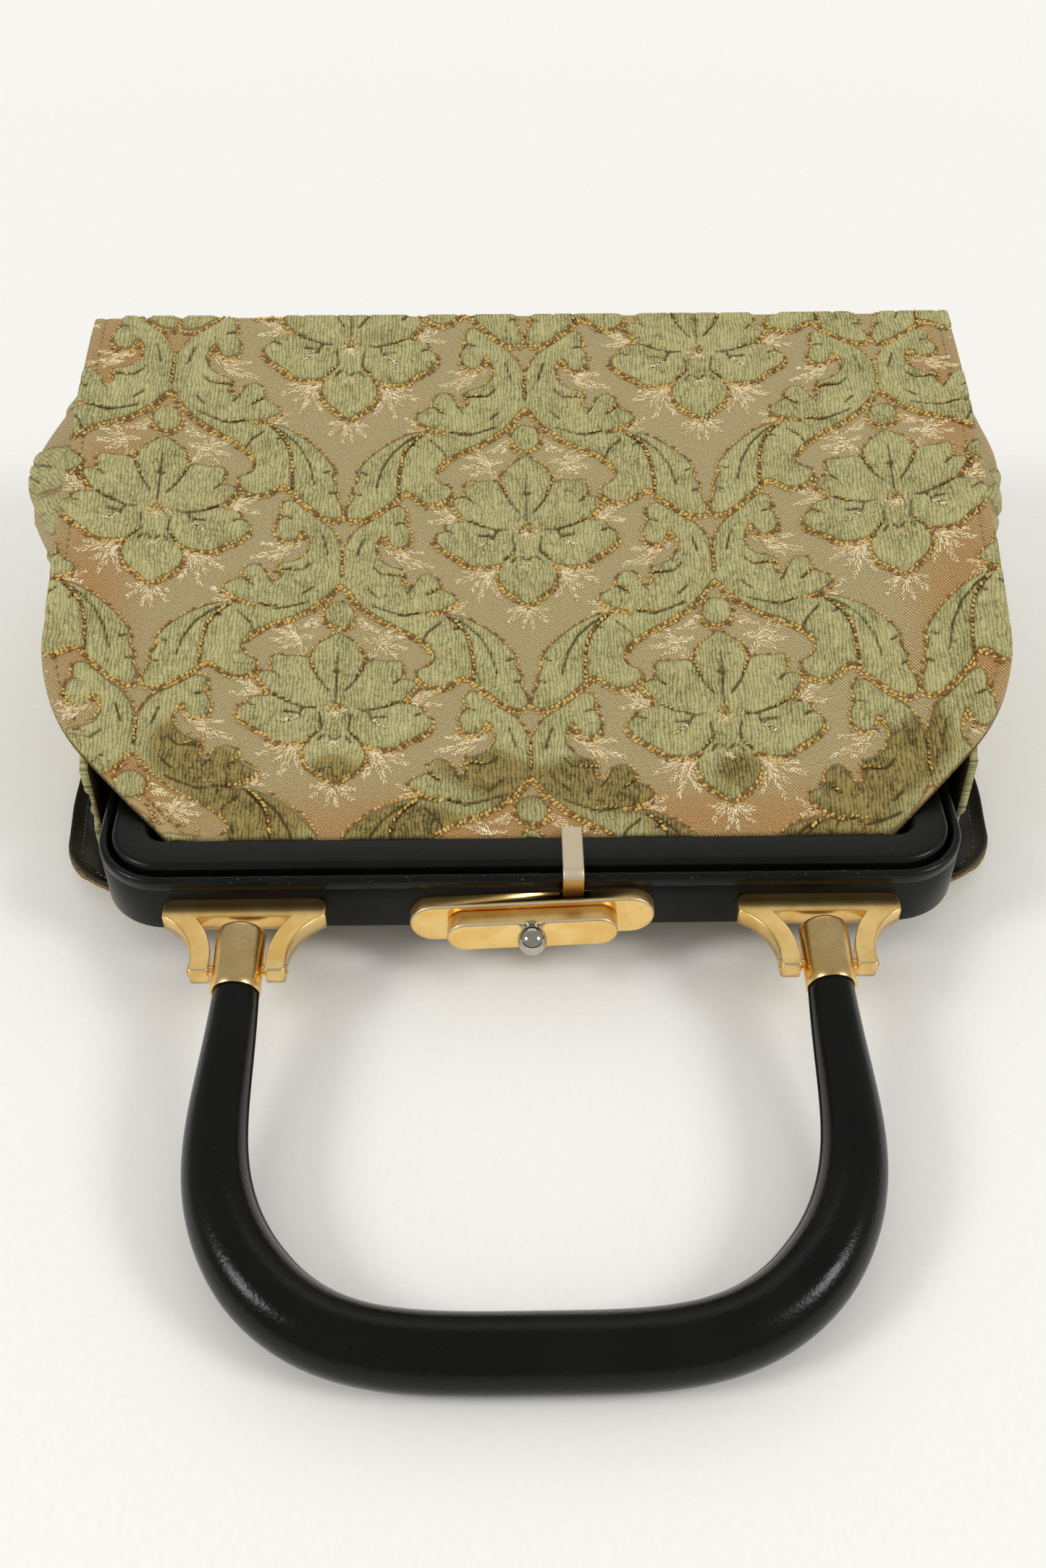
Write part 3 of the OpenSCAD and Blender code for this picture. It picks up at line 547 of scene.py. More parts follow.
def damask(u, v):
    """Distance into the pile and from a dark line at places on the cloth."""
    a = np.abs(u - 2 * HALF_REPEAT_X * np.round(u / (2 * HALF_REPEAT_X)))
    b = v - 2 * HALF_REPEAT_Y * np.round(v / (2 * HALF_REPEAT_Y)) + HALF_REPEAT_Y
    i, j = a / CELL_STEP, b / CELL_STEP
    i0 = np.clip(i.astype(int), 0, cell_pile.shape[0] - 2)
    j0 = np.clip(j.astype(int), 0, cell_pile.shape[1] - 2)
    fi, fj = i - i0, j - j0

    def sample(cell):
        low = cell[i0, j0] * (1 - fi) + cell[i0 + 1, j0] * fi
        high = cell[i0, j0 + 1] * (1 - fi) + cell[i0 + 1, j0 + 1] * fi
        return low * (1 - fj) + high * fj

    return sample(cell_pile), sample(cell_slit)


# Cloth patches: each has a place in space for a place on the cloth

PILE_H = 1.15
GROUND_DEPTH = 0.35
EDGE_ROLL = 1.2
STITCH_INSET = 4.2
EYE_X, EYE_Y = 0.4, 18.1


def cloth_shift(x, y):
    """How far the weave of the front panel runs off straight, across the bag's length."""
    a, b = x / HALF_REPEAT_X, (y - EYE_Y) / HALF_REPEAT_Y
    return 0.5 * a + 0.225 * a * a + 0.8 * b * b - 2.1 * a * b * b


def front_cloth(x, y):
    return x - EYE_X, y - EYE_Y - cloth_shift(x, y)


def front_from_cloth(u, v):
    x, y = u + EYE_X, v + EYE_Y
    return x, y + cloth_shift(x, y)


def front_place(x, y):
    return np.stack([x, y, front_z(x, y)], -1)


def tangents(place, a, b, step=0.2):
    """Unit vectors along the two directions of a surface, and its outward normal."""
    along = place(a + step, b) - place(a - step, b)
    across = place(a, b + step) - place(a, b - step)
    along /= np.linalg.norm(along, axis=-1, keepdims=True)
    normal = np.cross(along, across)
    normal /= np.linalg.norm(normal, axis=-1, keepdims=True)
    return along, np.cross(normal, along), normal


def roll_off(distance):
    """How far a rounded edge has dropped at a distance in from it."""
    d = np.clip(distance, 0, EDGE_ROLL)
    return EDGE_ROLL - np.sqrt(np.maximum(EDGE_ROLL**2 - (EDGE_ROLL - d) ** 2, 0))


def pile_height(pile, slit):
    """Height of the cloth's face: ground, pile with soft edges, and dark lines pressed into it."""
    high = ease((pile + 0.3) / 1.5)
    return -GROUND_DEPTH + PILE_H * high * (1 - 0.6 * ease((0.7 - slit) / 0.6))


def front_slope(y):
    """Change of the front panel's half width along the bag."""
    return (front_half(y + 0.05) - front_half(y - 0.05)) / 0.1


def side_distance(x, y):
    """Distance in from the front panel's side edges."""
    return (front_half(y) - np.abs(x)) / np.sqrt(1 + front_slope(y) ** 2)


def bead_form(sides=6):
    """A dome on a unit square: its points and faces."""
    turn = np.arange(sides) * 2 * np.pi / sides
    foot = np.column_stack([np.cos(turn), np.sin(turn), np.full(sides, -0.25)])
    shoulder = np.column_stack([0.8 * np.cos(turn), 0.8 * np.sin(turn), np.full(sides, 0.62)])
    pairs = [(k, (k + 1) % sides) for k in range(sides)]
    faces = [[a, b, sides + b, sides + a] for a, b in pairs]
    faces += [[sides + a, sides + b, 2 * sides] for a, b in pairs]
    faces.append(list(range(sides))[::-1])
    return np.concatenate([foot, shoulder, [[0, 0, 1.0]]]), faces


BEAD = bead_form()
# A stroke of thread on a unit square, with pointed ends and a ridge: its points and faces
STROKE = (
    np.array(
        [
            [-1, 0, 0], [1, 0, 0], [-0.5, 1, 0], [0.5, 1, 0],
            [0.5, -1, 0], [-0.5, -1, 0], [-0.55, 0, 1], [0.55, 0, 1],
        ],
        float,
    ),
    [[2, 6, 7, 3], [4, 7, 6, 5], [3, 7, 1], [7, 4, 1], [5, 6, 0], [6, 2, 0], [2, 3, 1, 4, 5, 0]],
)


def scatter(form, place, a, b, lift, turn, length, width, height):
    """One mesh of many small forms on a surface: lifted, turned, with half sizes and a height."""
    form_points, form_faces = form
    along, across, normal = tangents(place, a, b)
    turn = np.asarray(turn)[:, None]
    forward = np.cos(turn) * along + np.sin(turn) * across
    sideways = np.cos(turn) * across - np.sin(turn) * along
    p = (place(a, b) + lift[:, None] * normal)[:, None, :]
    for axis, (size, way) in enumerate(((length, forward), (width, sideways), (height, normal))):
        p = p + (form_points[None, :, axis] * size[:, None])[..., None] * way[:, None, :]
    n = len(form_points)
    faces = [[i + k * n for i in face] for k in range(len(a)) for face in form_faces]
    return p.reshape(-1, 3), faces


def paced(points, closed, pitch):
    """Places at an even pitch along a line, and the angle of the line at each."""
    p = np.concatenate([points, points[:1]]) if closed else points
    d = np.diff(p, axis=0)
    run = np.concatenate([[0], np.cumsum(np.hypot(d[:, 0], d[:, 1]))])
    at = np.arange(pitch / 2, run[-1], pitch)
    k = np.clip(np.searchsorted(run, at, side="right") - 1, 0, len(d) - 1)
    t = (at - run[k]) / np.maximum(run[k + 1] - run[k], 1e-9)
    return p[k] + d[k] * t[:, None], np.arctan2(d[k, 1], d[k, 0])


BEAD_PITCH = 1.4


def cord_beads():
    """Beads of the outline cords of one motif: places, angles and how heavy each is.
    A cord is heaviest along an edge that faces the bag's mouth, and the upper edges have hardly any."""
    places, angles, weights = [], [], []
    for loop in motif_loops:
        clockwise = np.sum(loop[:, 0] * np.roll(loop[:, 1], -1) - np.roll(loop[:, 0], -1) * loop[:, 1]) < 0
        p, a = paced(loop, True, BEAD_PITCH)
        out = a + (np.pi / 2 if clockwise else -np.pi / 2)
        way = np.stack([np.cos(out), np.sin(out)], 1)
        heavy = np.clip(0.66 - 0.42 * np.sin(out), 0, 1)
        places.append(p + 0.45 * way)
        angles.append(a)
        weights.append(heavy)
        double = heavy > 0.8
        places.append((p + 1.35 * way)[double])
        angles.append(a[double] + 0.2)
        weights.append(heavy[double] - 0.25)
    for lines, weight in ((leaf_cords, 0.75), (notch_cords, 0.3)):
        for line in lines:
            p, a = paced(line, False, BEAD_PITCH)
            places.append(p)
            angles.append(a)
            weights.append(np.full(len(p), weight))
    places.append(np.array(EYE, float))
    angles.append(np.full(len(EYE), 1.2))
    weights.append(np.full(len(EYE), 0.6))
    places, angles, weights = (np.concatenate(each) for each in (places, angles, weights))
    shown = weights > 0.2 + 0.12 * rng.random(len(weights))
    return places[shown], angles[shown], weights[shown]


STROKE_PITCH = 1.0
BARB_ANGLE = 0.55


def sprig_strokes():
    """Strokes of one motif's pale sprigs, like the barbs of a feather: places, angles, half lengths."""
    found = []
    for start, end, width in SPRIGS:
        start, end = np.array(start, float), np.array(end, float)
        way = end - start
        length = np.hypot(*way)
        across = np.array([-way[1], way[0]]) / length
        axis = math.atan2(way[1], way[0])
        rows = max(2, round(length / STROKE_PITCH))
        for k in range(rows):
            t = (k + 0.5) / rows
            half = 0.5 * width * (1.15 - 0.75 * t)
            for side in (-1, 1) if k % 3 else (-1, 0, 1):
                place = start + way * t + across * side * half * 0.62
                found.append((place[0], place[1], axis + side * BARB_ANGLE, 0.55 + 0.5 * half))
    found = np.array(found)
    mirror = found * (-1, 1, -1, 1)
    mirror[:, 2] += np.pi
    return np.concatenate([found, mirror])


bead_places, bead_angles, bead_weights = cord_beads()
strokes = sprig_strokes()


def eyes_over(u_low, u_high, v_low, v_high):
    """Flower eyes whose motif may reach a stretch of cloth."""
    found = []
    for i in range(math.floor(u_low / HALF_REPEAT_X) - 1, math.ceil(u_high / HALF_REPEAT_X) + 2):
        for j in range(math.floor(v_low / HALF_REPEAT_Y) - 2, math.ceil(v_high / HALF_REPEAT_Y) + 2):
            if (i + j) % 2 == 0:
                found.append((i * HALF_REPEAT_X, j * HALF_REPEAT_Y))
    return np.array(found, float)


def spread_motif(eyes, places):
    """Places of one motif at each of its flower eyes."""
    return (eyes[:, None, :] + places[None, :, :2]).reshape(-1, 2)


CLEAR_OF_SLITS = 9.0


def embroider(name, eyes, from_cloth, place, keep):
    """Meshes of the outline cords and the pale sprigs on a patch of cloth."""
    made = []
    count = len(eyes)
    for kind in ("cords", "sprigs"):
        if kind == "cords":
            form, thread, wander = BEAD, cord_thread, 0.55
            uv = spread_motif(eyes, bead_places)
            n = len(uv)
            weight = np.tile(bead_weights, count)
            angle = np.tile(bead_angles, count) + 0.5 + 0.7 * (rng.random(n) - 0.5)
            length = 0.58 + 0.3 * rng.random(n) + 0.12 * weight
            width = (0.28 + 0.3 * weight) * (0.7 + 0.6 * rng.random(n))
            height = 0.4 + 0.3 * weight + 0.2 * rng.random(n)
        else:
            form, thread, wander = STROKE, sprig_thread, 0.5
            uv = spread_motif(eyes, strokes)
            n = len(uv)
            angle = np.tile(strokes[:, 2], count) + 0.4 * (rng.random(n) - 0.5)
            length = np.tile(strokes[:, 3], count) * (0.7 + 0.6 * rng.random(n))
            width = 0.18 + 0.12 * rng.random(n)
            height = 0.25 + 0.25 * rng.random(n)
        uv = uv + wander * (rng.random(uv.shape) - 0.5)
        tone = rng.random(n)
        pile, _ = damask(uv[:, 0], uv[:, 1])
        lift = pile_height(pile, np.full(n, CLEAR_OF_SLITS))
        a, b = from_cloth(uv[:, 0], uv[:, 1])
        ok = keep(a, b)
        a, b, lift, angle, length, width, height, tone = (
            each[ok] for each in (a, b, lift, angle, length, width, height, tone)
        )
        points, faces = scatter(form, place, a, b, lift, angle, length, width, height)
        form_points = form[0]
        values = {"tone": np.repeat(tone, len(form_points)), "rise": np.tile(form_points[:, 2], len(a))}
        made.append(make_piece(f"{name}_{kind}", points, faces, [thread], values))
    return made


def stitch_line(name, line, pitch, place, sink, size, thread):
    """A row of stitches along a line on the right, and its mirror image on the left."""
    at, angle = paced(line, False, pitch)
    at = np.concatenate([at, at * (-1, 1)])
    angle = np.concatenate([angle, np.pi - angle])
    n = len(at)
    sizes = [np.full(n, each) for each in size]
    points, faces = scatter(BEAD, place, at[:, 0], at[:, 1], np.full(n, -sink), angle, *sizes)
    tone = np.repeat(rng.random(n), len(BEAD[0]))
    return make_piece(name, points, faces, [thread], {"tone": tone})


# Materials


def colour(*srgb):
    """A colour given as sRGB numbers from 0 to 255, for a socket."""
    shares = [c / 255 for c in srgb]
    linear = [s / 12.92 if s <= 0.04045 else ((s + 0.055) / 1.055) ** 2.4 for s in shares]
    return (*linear, 1.0)


class Wire:
    """A shader socket that takes part in Python sums."""

    def __init__(self, tree, socket=None):
        self.tree = tree
        self.socket = socket

    def node(self, kind, settings=None, inputs=None, output=0):
        """A new node in the same tree, with its settings first and then its inputs."""
        made = self.tree.nodes.new(kind)
        for key, value in (settings or {}).items():
            setattr(made, key, value)
        for key, value in (inputs or {}).items():
            if isinstance(value, Wire):
                self.tree.links.new(value.socket, made.inputs[key])
            else:
                made.inputs[key].default_value = value
        return Wire(self.tree, made.outputs[output])

    def maths(self, operation, *terms):
        return self.node("ShaderNodeMath", {"operation": operation}, dict(enumerate(terms)))

    def __add__(self, other):
        return self.maths("ADD", self, other)

    __radd__ = __add__

    def __sub__(self, other):
        return self.maths("SUBTRACT", self, other)

    def __rsub__(self, other):
        return self.maths("SUBTRACT", other, self)

    def __mul__(self, other):
        return self.maths("MULTIPLY", self, other)

    __rmul__ = __mul__

    def __truediv__(self, other):
        return self.maths("DIVIDE", self, other)

    def __rtruediv__(self, other):
        return self.maths("DIVIDE", other, self)

    def __pow__(self, other):
        return self.maths("POWER", self, other)

    def __neg__(self):
        return self.maths("MULTIPLY", self, -1.0)

    def __abs__(self):
        return self.maths("ABSOLUTE", self)

    def sine(self):
        return self.maths("SINE", self)

    def floor(self):
        return self.maths("FLOOR", self)

    def place(self, x, y, z=0.0):
        """A vector from its parts."""
        return self.node("ShaderNodeCombineXYZ", None, {0: x, 1: y, 2: z})

    def step(self, low, high):
        """0 below low, 1 above high and a smooth change between them."""
        inputs = {0: self, 1: low, 2: high, 3: 0.0, 4: 1.0}
        return self.node("ShaderNodeMapRange", {"interpolation_type": "SMOOTHSTEP"}, inputs)

    def stretch(self, x, y, z):
        """A vector with each part times a number."""
        return self.node("ShaderNodeVectorMath", {"operation": "MULTIPLY"}, {0: self, 1: (x, y, z)})

    def part(self, axis):
        return self.node("ShaderNodeSeparateXYZ", None, {0: self}, axis)

    def noise(self, scale, detail=2.0, roughness=0.5):
        """Noise from about 0 to 1 at a place."""
        inputs = {"Vector": self, "Scale": scale, "Detail": detail, "Roughness": roughness}
        return self.node("ShaderNodeTexNoise", None, inputs)

    def value(self, name):
        """A number kept at the mesh's points."""
        return self.node("ShaderNodeAttribute", {"attribute_name": name}, None, 2)

    def vector(self, name):
        """A vector kept at the mesh's points."""
        return self.node("ShaderNodeAttribute", {"attribute_name": name}, None, 1)

    def object_place(self):
        """Place on the object, in millimetres."""
        return self.node("ShaderNodeTexCoord", None, None, 3).stretch(1 / MM, 1 / MM, 1 / MM)

    def blend(self, first, second):
        """One colour at 0 and the other at 1."""
        inputs = {0: self, 6: first, 7: second}
        return self.node("ShaderNodeMix", {"data_type": "RGBA"}, inputs, 2)

    def bump(self, distance, strength):
        inputs = {"Height": self, "Distance": distance, "Strength": strength}
        return self.node("ShaderNodeBump", None, inputs)


def material(name, **inputs):
    """A principled material with its constant inputs set; returns it with a wire to start sums from."""
    made = bpy.data.materials.new(name)
    made.use_nodes = True
    shader = made.node_tree.nodes["Principled BSDF"]
    for key, value in inputs.items():
        shader.inputs[key.replace("_", " ")].default_value = value
    return made, Wire(made.node_tree), shader


def drive(shader, **inputs):
    """Joins wires to a principled shader's inputs."""
    for key, value in inputs.items():
        value.tree.links.new(value.socket, shader.inputs[key.replace("_", " ")])


RIB_PITCH = 1.15
TWILL_PITCH = 0.9
# Dark and light tones of the velvet, and the painted shade tone along the pile's edges
PILE_TONES = colour(92, 85, 42), colour(186, 179, 125)
PRESSED_TONES = colour(52, 43, 15), colour(152, 134, 77)
TAUPE_TONES = colour(128, 112, 74), colour(196, 180, 134)
BROWN_TONES = colour(126, 90, 50), colour(198, 158, 102)
WORN_TONE, PILE_EDGE_SHADE_TONE, LINE_TONE = colour(180, 152, 106), colour(98, 80, 40), colour(70, 57, 25)


def velvet_material():
    """Damask: green pile in ribs, pressed in places, over a twill ground that has browned in places, with
    painted shade along the pile's edges.
    """
    made, wire, shader = material(
        "damask_velvet", Roughness=0.85, Specular_IOR_Level=0.15, Sheen_Weight=0.12, Sheen_Roughness=0.5
    )
    cloth = wire.vector("cloth")
    u, v = cloth.part(0), cloth.part(1)
    pile, slit = wire.value("pile"), wire.value("slit")
    crush, warm, worn = wire.value("crush"), wire.value("warm"), wire.value("worn")
    wander = cloth.stretch(0.2, 0.11, 1).noise(1.0, 2.0) - 0.5
    shake = cloth.stretch(0.8, 0.45, 1).noise(1.0, 2.0) - 0.5
    phase = u / RIB_PITCH + wander * 3.0 + shake * 0.9
    row = phase.floor()
    rib = 1.0 - abs((phase - row) * 2.0 - 1.0) ** 2.0
    tuft = row.place(row * 5.17, v * 0.5).noise(1.0, 2.0, 0.6)
    lie = cloth.noise(0.08, 3.0)
    mottle = cloth.stretch(0.42, 0.26, 1).noise(1.0, 3.0, 0.6)
    grain = cloth.stretch(1.3, 1.3, 1).noise(1.0, 3.0, 0.7)
    soft = (lie - 0.5) * 0.9 + (mottle - 0.5) * 0.9

    tip = rib * 0.4 + (tuft - 0.5) * 0.85 + (grain - 0.5) * 1.2 + soft * 0.75 + 0.36
    green = tip.step(-0.05, 1.0).blend(*PILE_TONES)
    pressed = (tip + (mottle - 0.5) * 0.9).step(0.05, 1.0).blend(*PRESSED_TONES)
    flattened = crush * (0.95 + soft * 1.2) + (tuft - 0.5) * 0.2 + soft * 0.25
    green = flattened.step(0.2, 0.7).blend(green, pressed)

    twill = ((u + v * 0.9) * (2 * math.pi / TWILL_PITCH) + shake * 5.0).sine() * 0.5 + 0.5
    thread = (twill * 0.5 + grain * 0.7 - 0.05).step(0.31, 0.74)
    taupe, brown = thread.blend(*TAUPE_TONES), thread.blend(*BROWN_TONES)
    ground = (warm + (mottle - 0.5) * 0.4).step(0.0, 1.0).blend(taupe, brown)
    ground = (worn * (0.5 + grain)).step(0.2, 0.9).blend(ground, WORN_TONE)

    ragged = pile + (tuft - 0.5) * 1.0 + (grain - 0.5) * 0.5
    face = ragged.step(-0.15, 0.2).blend(ground, green)
    # Painted shade: a dark band where the pile's edge meets the ground
    pile_edge_shade = (1.0 - abs(ragged + 0.1).step(0.15, 0.6)) * (0.25 + grain * 0.6)
    face = pile_edge_shade.blend(face, PILE_EDGE_SHADE_TONE)
    off_line = slit + (tuft - 0.5) * 0.4 + (grain - 0.5) * 0.3
    line = (1.0 - off_line.step(0.2, 0.71)) * pile.step(-0.3, 0.2)
    face = (line * 0.9).blend(face, LINE_TONE)
    height = pile.step(-0.1, 0.4) * (rib * 0.5 + tuft * 0.9) + (1.0 - pile.step(-0.4, 0.1)) * thread * 0.35
    drive(shader, Base_Color=face, Normal=height.bump(0.00045, 0.75))
    return made


def mottled_material(name, tones, noise, steps=None, rough=None, **inputs):
    """A material whose colour, and roughness where it is given, follow soft noise."""
    made, wire, shader = material(name, **inputs)
    cloud = wire.object_place().noise(*noise)
    share = cloud.step(*steps) if steps else cloud
    drive(shader, Base_Color=share.blend(*(colour(*tone) for tone in tones)))
    if rough:
        drive(shader, Roughness=rough[0] + cloud * rough[1])
    return made


def cord_material():
    """Ochre thread with some brown beads, and painted shade darkening the foot of each bead."""
    made, wire, shader = material("outline_cord", Roughness=0.6, Specular_IOR_Level=0.25)
    tone, rise = wire.value("tone"), wire.value("rise")
    ochre = tone.blend(colour(188, 148, 72), colour(234, 202, 120))
    thread = tone.step(0.68, 0.76).blend(ochre, colour(138, 98, 48))
    # Painted shade: each bead turns to a dark tone towards its foot
    drive(shader, Base_Color=rise.step(-0.2, 0.7).blend(colour(96, 72, 36), thread))
    return made


def thread_material(name, dark, light, roughness, shine):
    """Thread in tones that change from stitch to stitch."""
    made, wire, shader = material(name, Roughness=roughness, Specular_IOR_Level=shine)
    drive(shader, Base_Color=wire.value("tone").blend(colour(*dark), colour(*light)))
    return made


def leather_material(name, grain_height, scuffs, shine, roughness):
    """Black leather with a fine grain, and pale scuffs where it is rubbed."""
    made, wire, shader = material(name, Specular_IOR_Level=shine)
    place = wire.object_place()
    grain = place.noise(0.9, 3.0, 0.6)
    cloud = place.noise(0.05, 2.0)
    speck = place.noise(1.1, 2.0, 0.7)
    scuff = wire.value("rub") * speck.step(0.66, 0.72) * scuffs
    black = cloud.step(0.3, 0.7).blend(colour(7, 9, 6), colour(12, 13, 10))
    drive(
        shader,
        Base_Color=scuff.blend(black, colour(84, 82, 76)),
        Roughness=roughness + cloud * 0.16 + grain * 0.06,
        Normal=grain.bump(grain_height, 0.35),
    )
    return made


def gold_material():
    """Gilt brass, pale where it is rubbed, dull where it is marked, satin on the sides of plates."""
    made, wire, shader = material("gilt_brass", Metallic=1.0)
    place = wire.object_place()
    wear, mark, satin_edge = wire.value("wear"), wire.value("mark"), wire.value("satin_edge")
    cloud, fine = place.noise(0.12, 3.0, 0.6), place.noise(1.4, 3.0, 0.65)
    gilt = cloud.step(0.3, 0.7).blend(colour(240, 196, 114), colour(252, 218, 146))
    rubbed = (wear * (0.45 + fine)).step(0.45, 0.95)
    gilt = rubbed.blend(gilt, colour(224, 216, 196))
    gilt = (mark * (0.5 + fine)).step(0.3, 0.8).blend(gilt, colour(176, 164, 138))
    rough = 0.13 + fine * 0.06 + mark * 0.2 + rubbed * 0.1 + satin_edge * 0.28
    drive(shader, Base_Color=gilt, Roughness=rough, Normal=fine.bump(0.00003, 0.05))
    return made


def silver_material():
    """Silver worn to brass along its middle, and darkened at the tail inside the lock as painted shade."""
    made, wire, shader = material("worn_silver", Metallic=1.0)
    fine, mark, tail = wire.object_place().noise(0.9, 3.0, 0.65), wire.value("mark"), wire.value("tail")
    tint = (mark * (0.6 + fine)).step(0.3, 1.0).blend(colour(238, 222, 192), colour(216, 170, 96))
    # Painted shade: the tail going into the lock turns dark brown
    tint = (tail * (0.7 + fine * 0.6)).step(0.2, 1.0).blend(tint, colour(96, 64, 24))
    drive(shader, Base_Color=tint, Roughness=0.4 + fine * 0.2)
    return made


velvet = velvet_material()
velvet_edge = mottled_material(
    "velvet_edge", ((92, 72, 40), (150, 122, 78)), (0.9, 3.0, 0.6), (0.3, 0.7),
    Roughness=0.9, Specular_IOR_Level=0.1,
)
satin = mottled_material(
    "lining_satin", ((118, 100, 72), (136, 118, 88)), (0.25, 2.0), (0.3, 0.7),
    Roughness=0.45, Specular_IOR_Level=0.4,
)
cord_thread = cord_material()
sprig_thread = thread_material("pale_sprig", (214, 189, 132), (252, 240, 206), 0.5, 0.35)
edge_thread = thread_material("edge_stitch", (112, 88, 48), (156, 130, 82), 0.7, 0.25)
black_thread = thread_material("black_stitch", (34, 33, 31), (104, 100, 92), 0.7, 0.25)
frame_leather = leather_material("frame_leather", 0.00008, 1.0, 0.23, 0.18)
grip_leather = leather_material("grip_leather", 0.00026, 0.4, 0.21, 0.09)
gold = gold_material()
silver = silver_material()
chrome = mottled_material(
    "chrome_ball", ((172, 166, 152), (206, 200, 188)), (1.5, 2.0), rough=(0.05, 0.06), Metallic=1.0
)
# Near-black painted shade for the cut faces inside the lock's mouth
dark = mottled_material(
    "painted_mouth_shade", ((8, 6, 3), (20, 14, 6)), (0.8, 2.0), Roughness=0.8, Specular_IOR_Level=0.1
)
steel = mottled_material(
    "hidden_steel", ((140, 140, 142), (168, 168, 170)), (0.4, 2.0), rough=(0.35, 0.1), Metallic=1.0
)
pale_floor = mottled_material(
    "pale_floor", ((242, 241, 236), (249, 248, 244)), (0.5, 2.0), Roughness=0.9, Specular_IOR_Level=0.1
)


# Velvet front panel

# Places where the pile has been pressed down: middle and reach, across and along the bag
PRESSED = [
    (-104, -57, 9, 7), (-96, -64, 9, 6), (-86, -69, 9, 6), (-88, -80, 11, 5), (-78, -81, 9, 5),
    (-58, -65, 6, 5), (-42, -81, 10, 5), (-33, -81, 10, 5), (-17, -61, 10, 6), (-6, -68, 10, 6),
    (14, -67, 8, 6), (23, -65, 10, 6), (29, -73, 9, 5), (48, -81, 10, 5), (61, -65, 6, 5),
    (82, -82, 12, 5), (94, -79, 9, 5), (92, -63, 9, 6), (103, -66, 10, 7), (97, -71, 9, 5),
    (112, -61, 9, 7), (119, -55, 6, 8),
]
# Places where the ground has gone brown, in the same way
BROWNED = [
    (-130, 80, 22, 24), (-136, -14, 16, 28), (-128, 30, 14, 16), (136, -12, 16, 28), (132, -36, 12, 14),
    (138, 58, 10, 34), (-30, -84, 60, 14), (60, -84, 60, 14), (-118, -70, 20, 14), (112, -78, 20, 12),
]


def patches(spots, x, y):
    """How far a place lies in any of some soft round spots, from 0 to 1."""
    total = np.zeros_like(x)
    for cx, cy, rx, ry in spots:
        total += np.exp(-(((x - cx) / rx) ** 2) - ((y - cy) / ry) ** 2)
    return np.clip(total, 0, 1)


GROUND_WARMTH = 0.3


def cloth_values(u, v, pile, slit, crush=0.0, warm=GROUND_WARMTH, worn=0.0):
    """What the velvet's material reads at each point of a grid."""
    none = np.zeros_like(u)
    wear = {"crush": none + crush, "warm": none + warm, "worn": none + worn}
    return {"cloth": np.stack([u, v, none], -1), "pile": pile, "slit": slit, **wear}


def shell_piece(name, outer, inner, materials, values, flip=False):
    """A closed sheet from its outer and inner grids, with values on the outer grid for its materials."""
    if flip:
        outer, inner = outer[:, ::-1], inner[:, ::-1]
        values = {key: value[:, ::-1] for key, value in values.items()}
    points, faces, kind, kept = cloth_shell(outer, inner)
    values = {key: np.concatenate([v.reshape(-1, *v.shape[2:]), v[kept]]) for key, v in values.items()}
    return make_piece(name, points, faces, materials, values, kind if len(materials) > 1 else None)


FOLD_FROM = (0, Y_FOLD_END, NEAR_Z)
FOLD_TO = (0, Y_FOLD_START, NEAR_Z)
SEAM_GROOVE, SEAM_GROOVE_W = 0.5, 0.55
STITCH_ENDS = 1.5


def build_front():
    ys = spread(Y_NEAR, Y_FAR, 0.86)
    ts = spread(-HALF_W, HALF_W, 0.88) / HALF_W
    y, t = np.meshgrid(ys, ts, indexing="ij")
    x = t * front_half(y)
    u, v = front_cloth(x, y)
    pile, slit = damask(u, v)
    side, far = side_distance(x, y), Y_FAR - y
    _, _, normal = tangents(front_place, x, y)
    groove = SEAM_GROOVE * np.exp(-(((side - STITCH_INSET) / SEAM_GROOVE_W) ** 2))
    height = pile_height(pile, slit) - groove - roll_off(side) - roll_off(far) - roll_off(y - Y_NEAR)
    outer = front_place(x, y) + height[..., None] * normal
    inner = front_place(x, y) - np.array([0, 0, PANEL_T - 0.15])
    crush = np.clip(patches(PRESSED, x, y) + 0.3 * ease((-50 - y) / 24), 0, 1)
    warm = 0.12 + 0.8 * patches(BROWNED, x, y)
    worn = ease((STITCH_INSET - side) / 1.2) * (0.12 + 0.88 * ease((-64 - y) / 14))
    cloth = cloth_values(u, v, pile, slit, crush, warm, worn)
    panel = shell_piece("velvet_front", outer, inner, [velvet, velvet_edge, satin], cloth)
    nodes = ["front_panel", "front_panel_fold", "front_panel_top"]
    bend_with_mouth(panel, FOLD_FROM, FOLD_TO, nodes)

    def on_panel(x, y):
        return (y > Y_NEAR + 0.6) & (y < Y_FAR - 0.6) & (side_distance(x, y) > 1.0)

    eyes = eyes_over(-HALF_W, HALF_W, Y_NEAR - EYE_Y, Y_FAR - EYE_Y)
    for threads in embroider("front", eyes, front_from_cloth, front_place, on_panel):
        bend_with_mouth(threads, FOLD_FROM, FOLD_TO, ())

    line_y = np.linspace(Y_NEAR + STITCH_ENDS, Y_FAR - STITCH_ENDS, 400)
    line_x = front_half(line_y) - STITCH_INSET * np.sqrt(1 + front_slope(line_y) ** 2)
    line = np.stack([line_x, line_y], 1)
    stitches = stitch_line("front_stitches", line, 2.3, front_place, 0.75, (0.85, 0.3, 0.4), edge_thread)
    bend_with_mouth(stitches, FOLD_FROM, FOLD_TO, ())


def sheet_size(grid):
    """Longest run across and along a grid of points, and its area, in metres."""
    along, across = np.diff(grid, axis=0), np.diff(grid, axis=1)
    area = np.linalg.norm(np.cross(along[:, :-1], across[:-1]), axis=-1).sum()
    runs = [np.linalg.norm(way, axis=-1).sum(k).max() for k, way in ((1, across), (0, along))]
    return runs[0] * MM, runs[1] * MM, area * MM**2


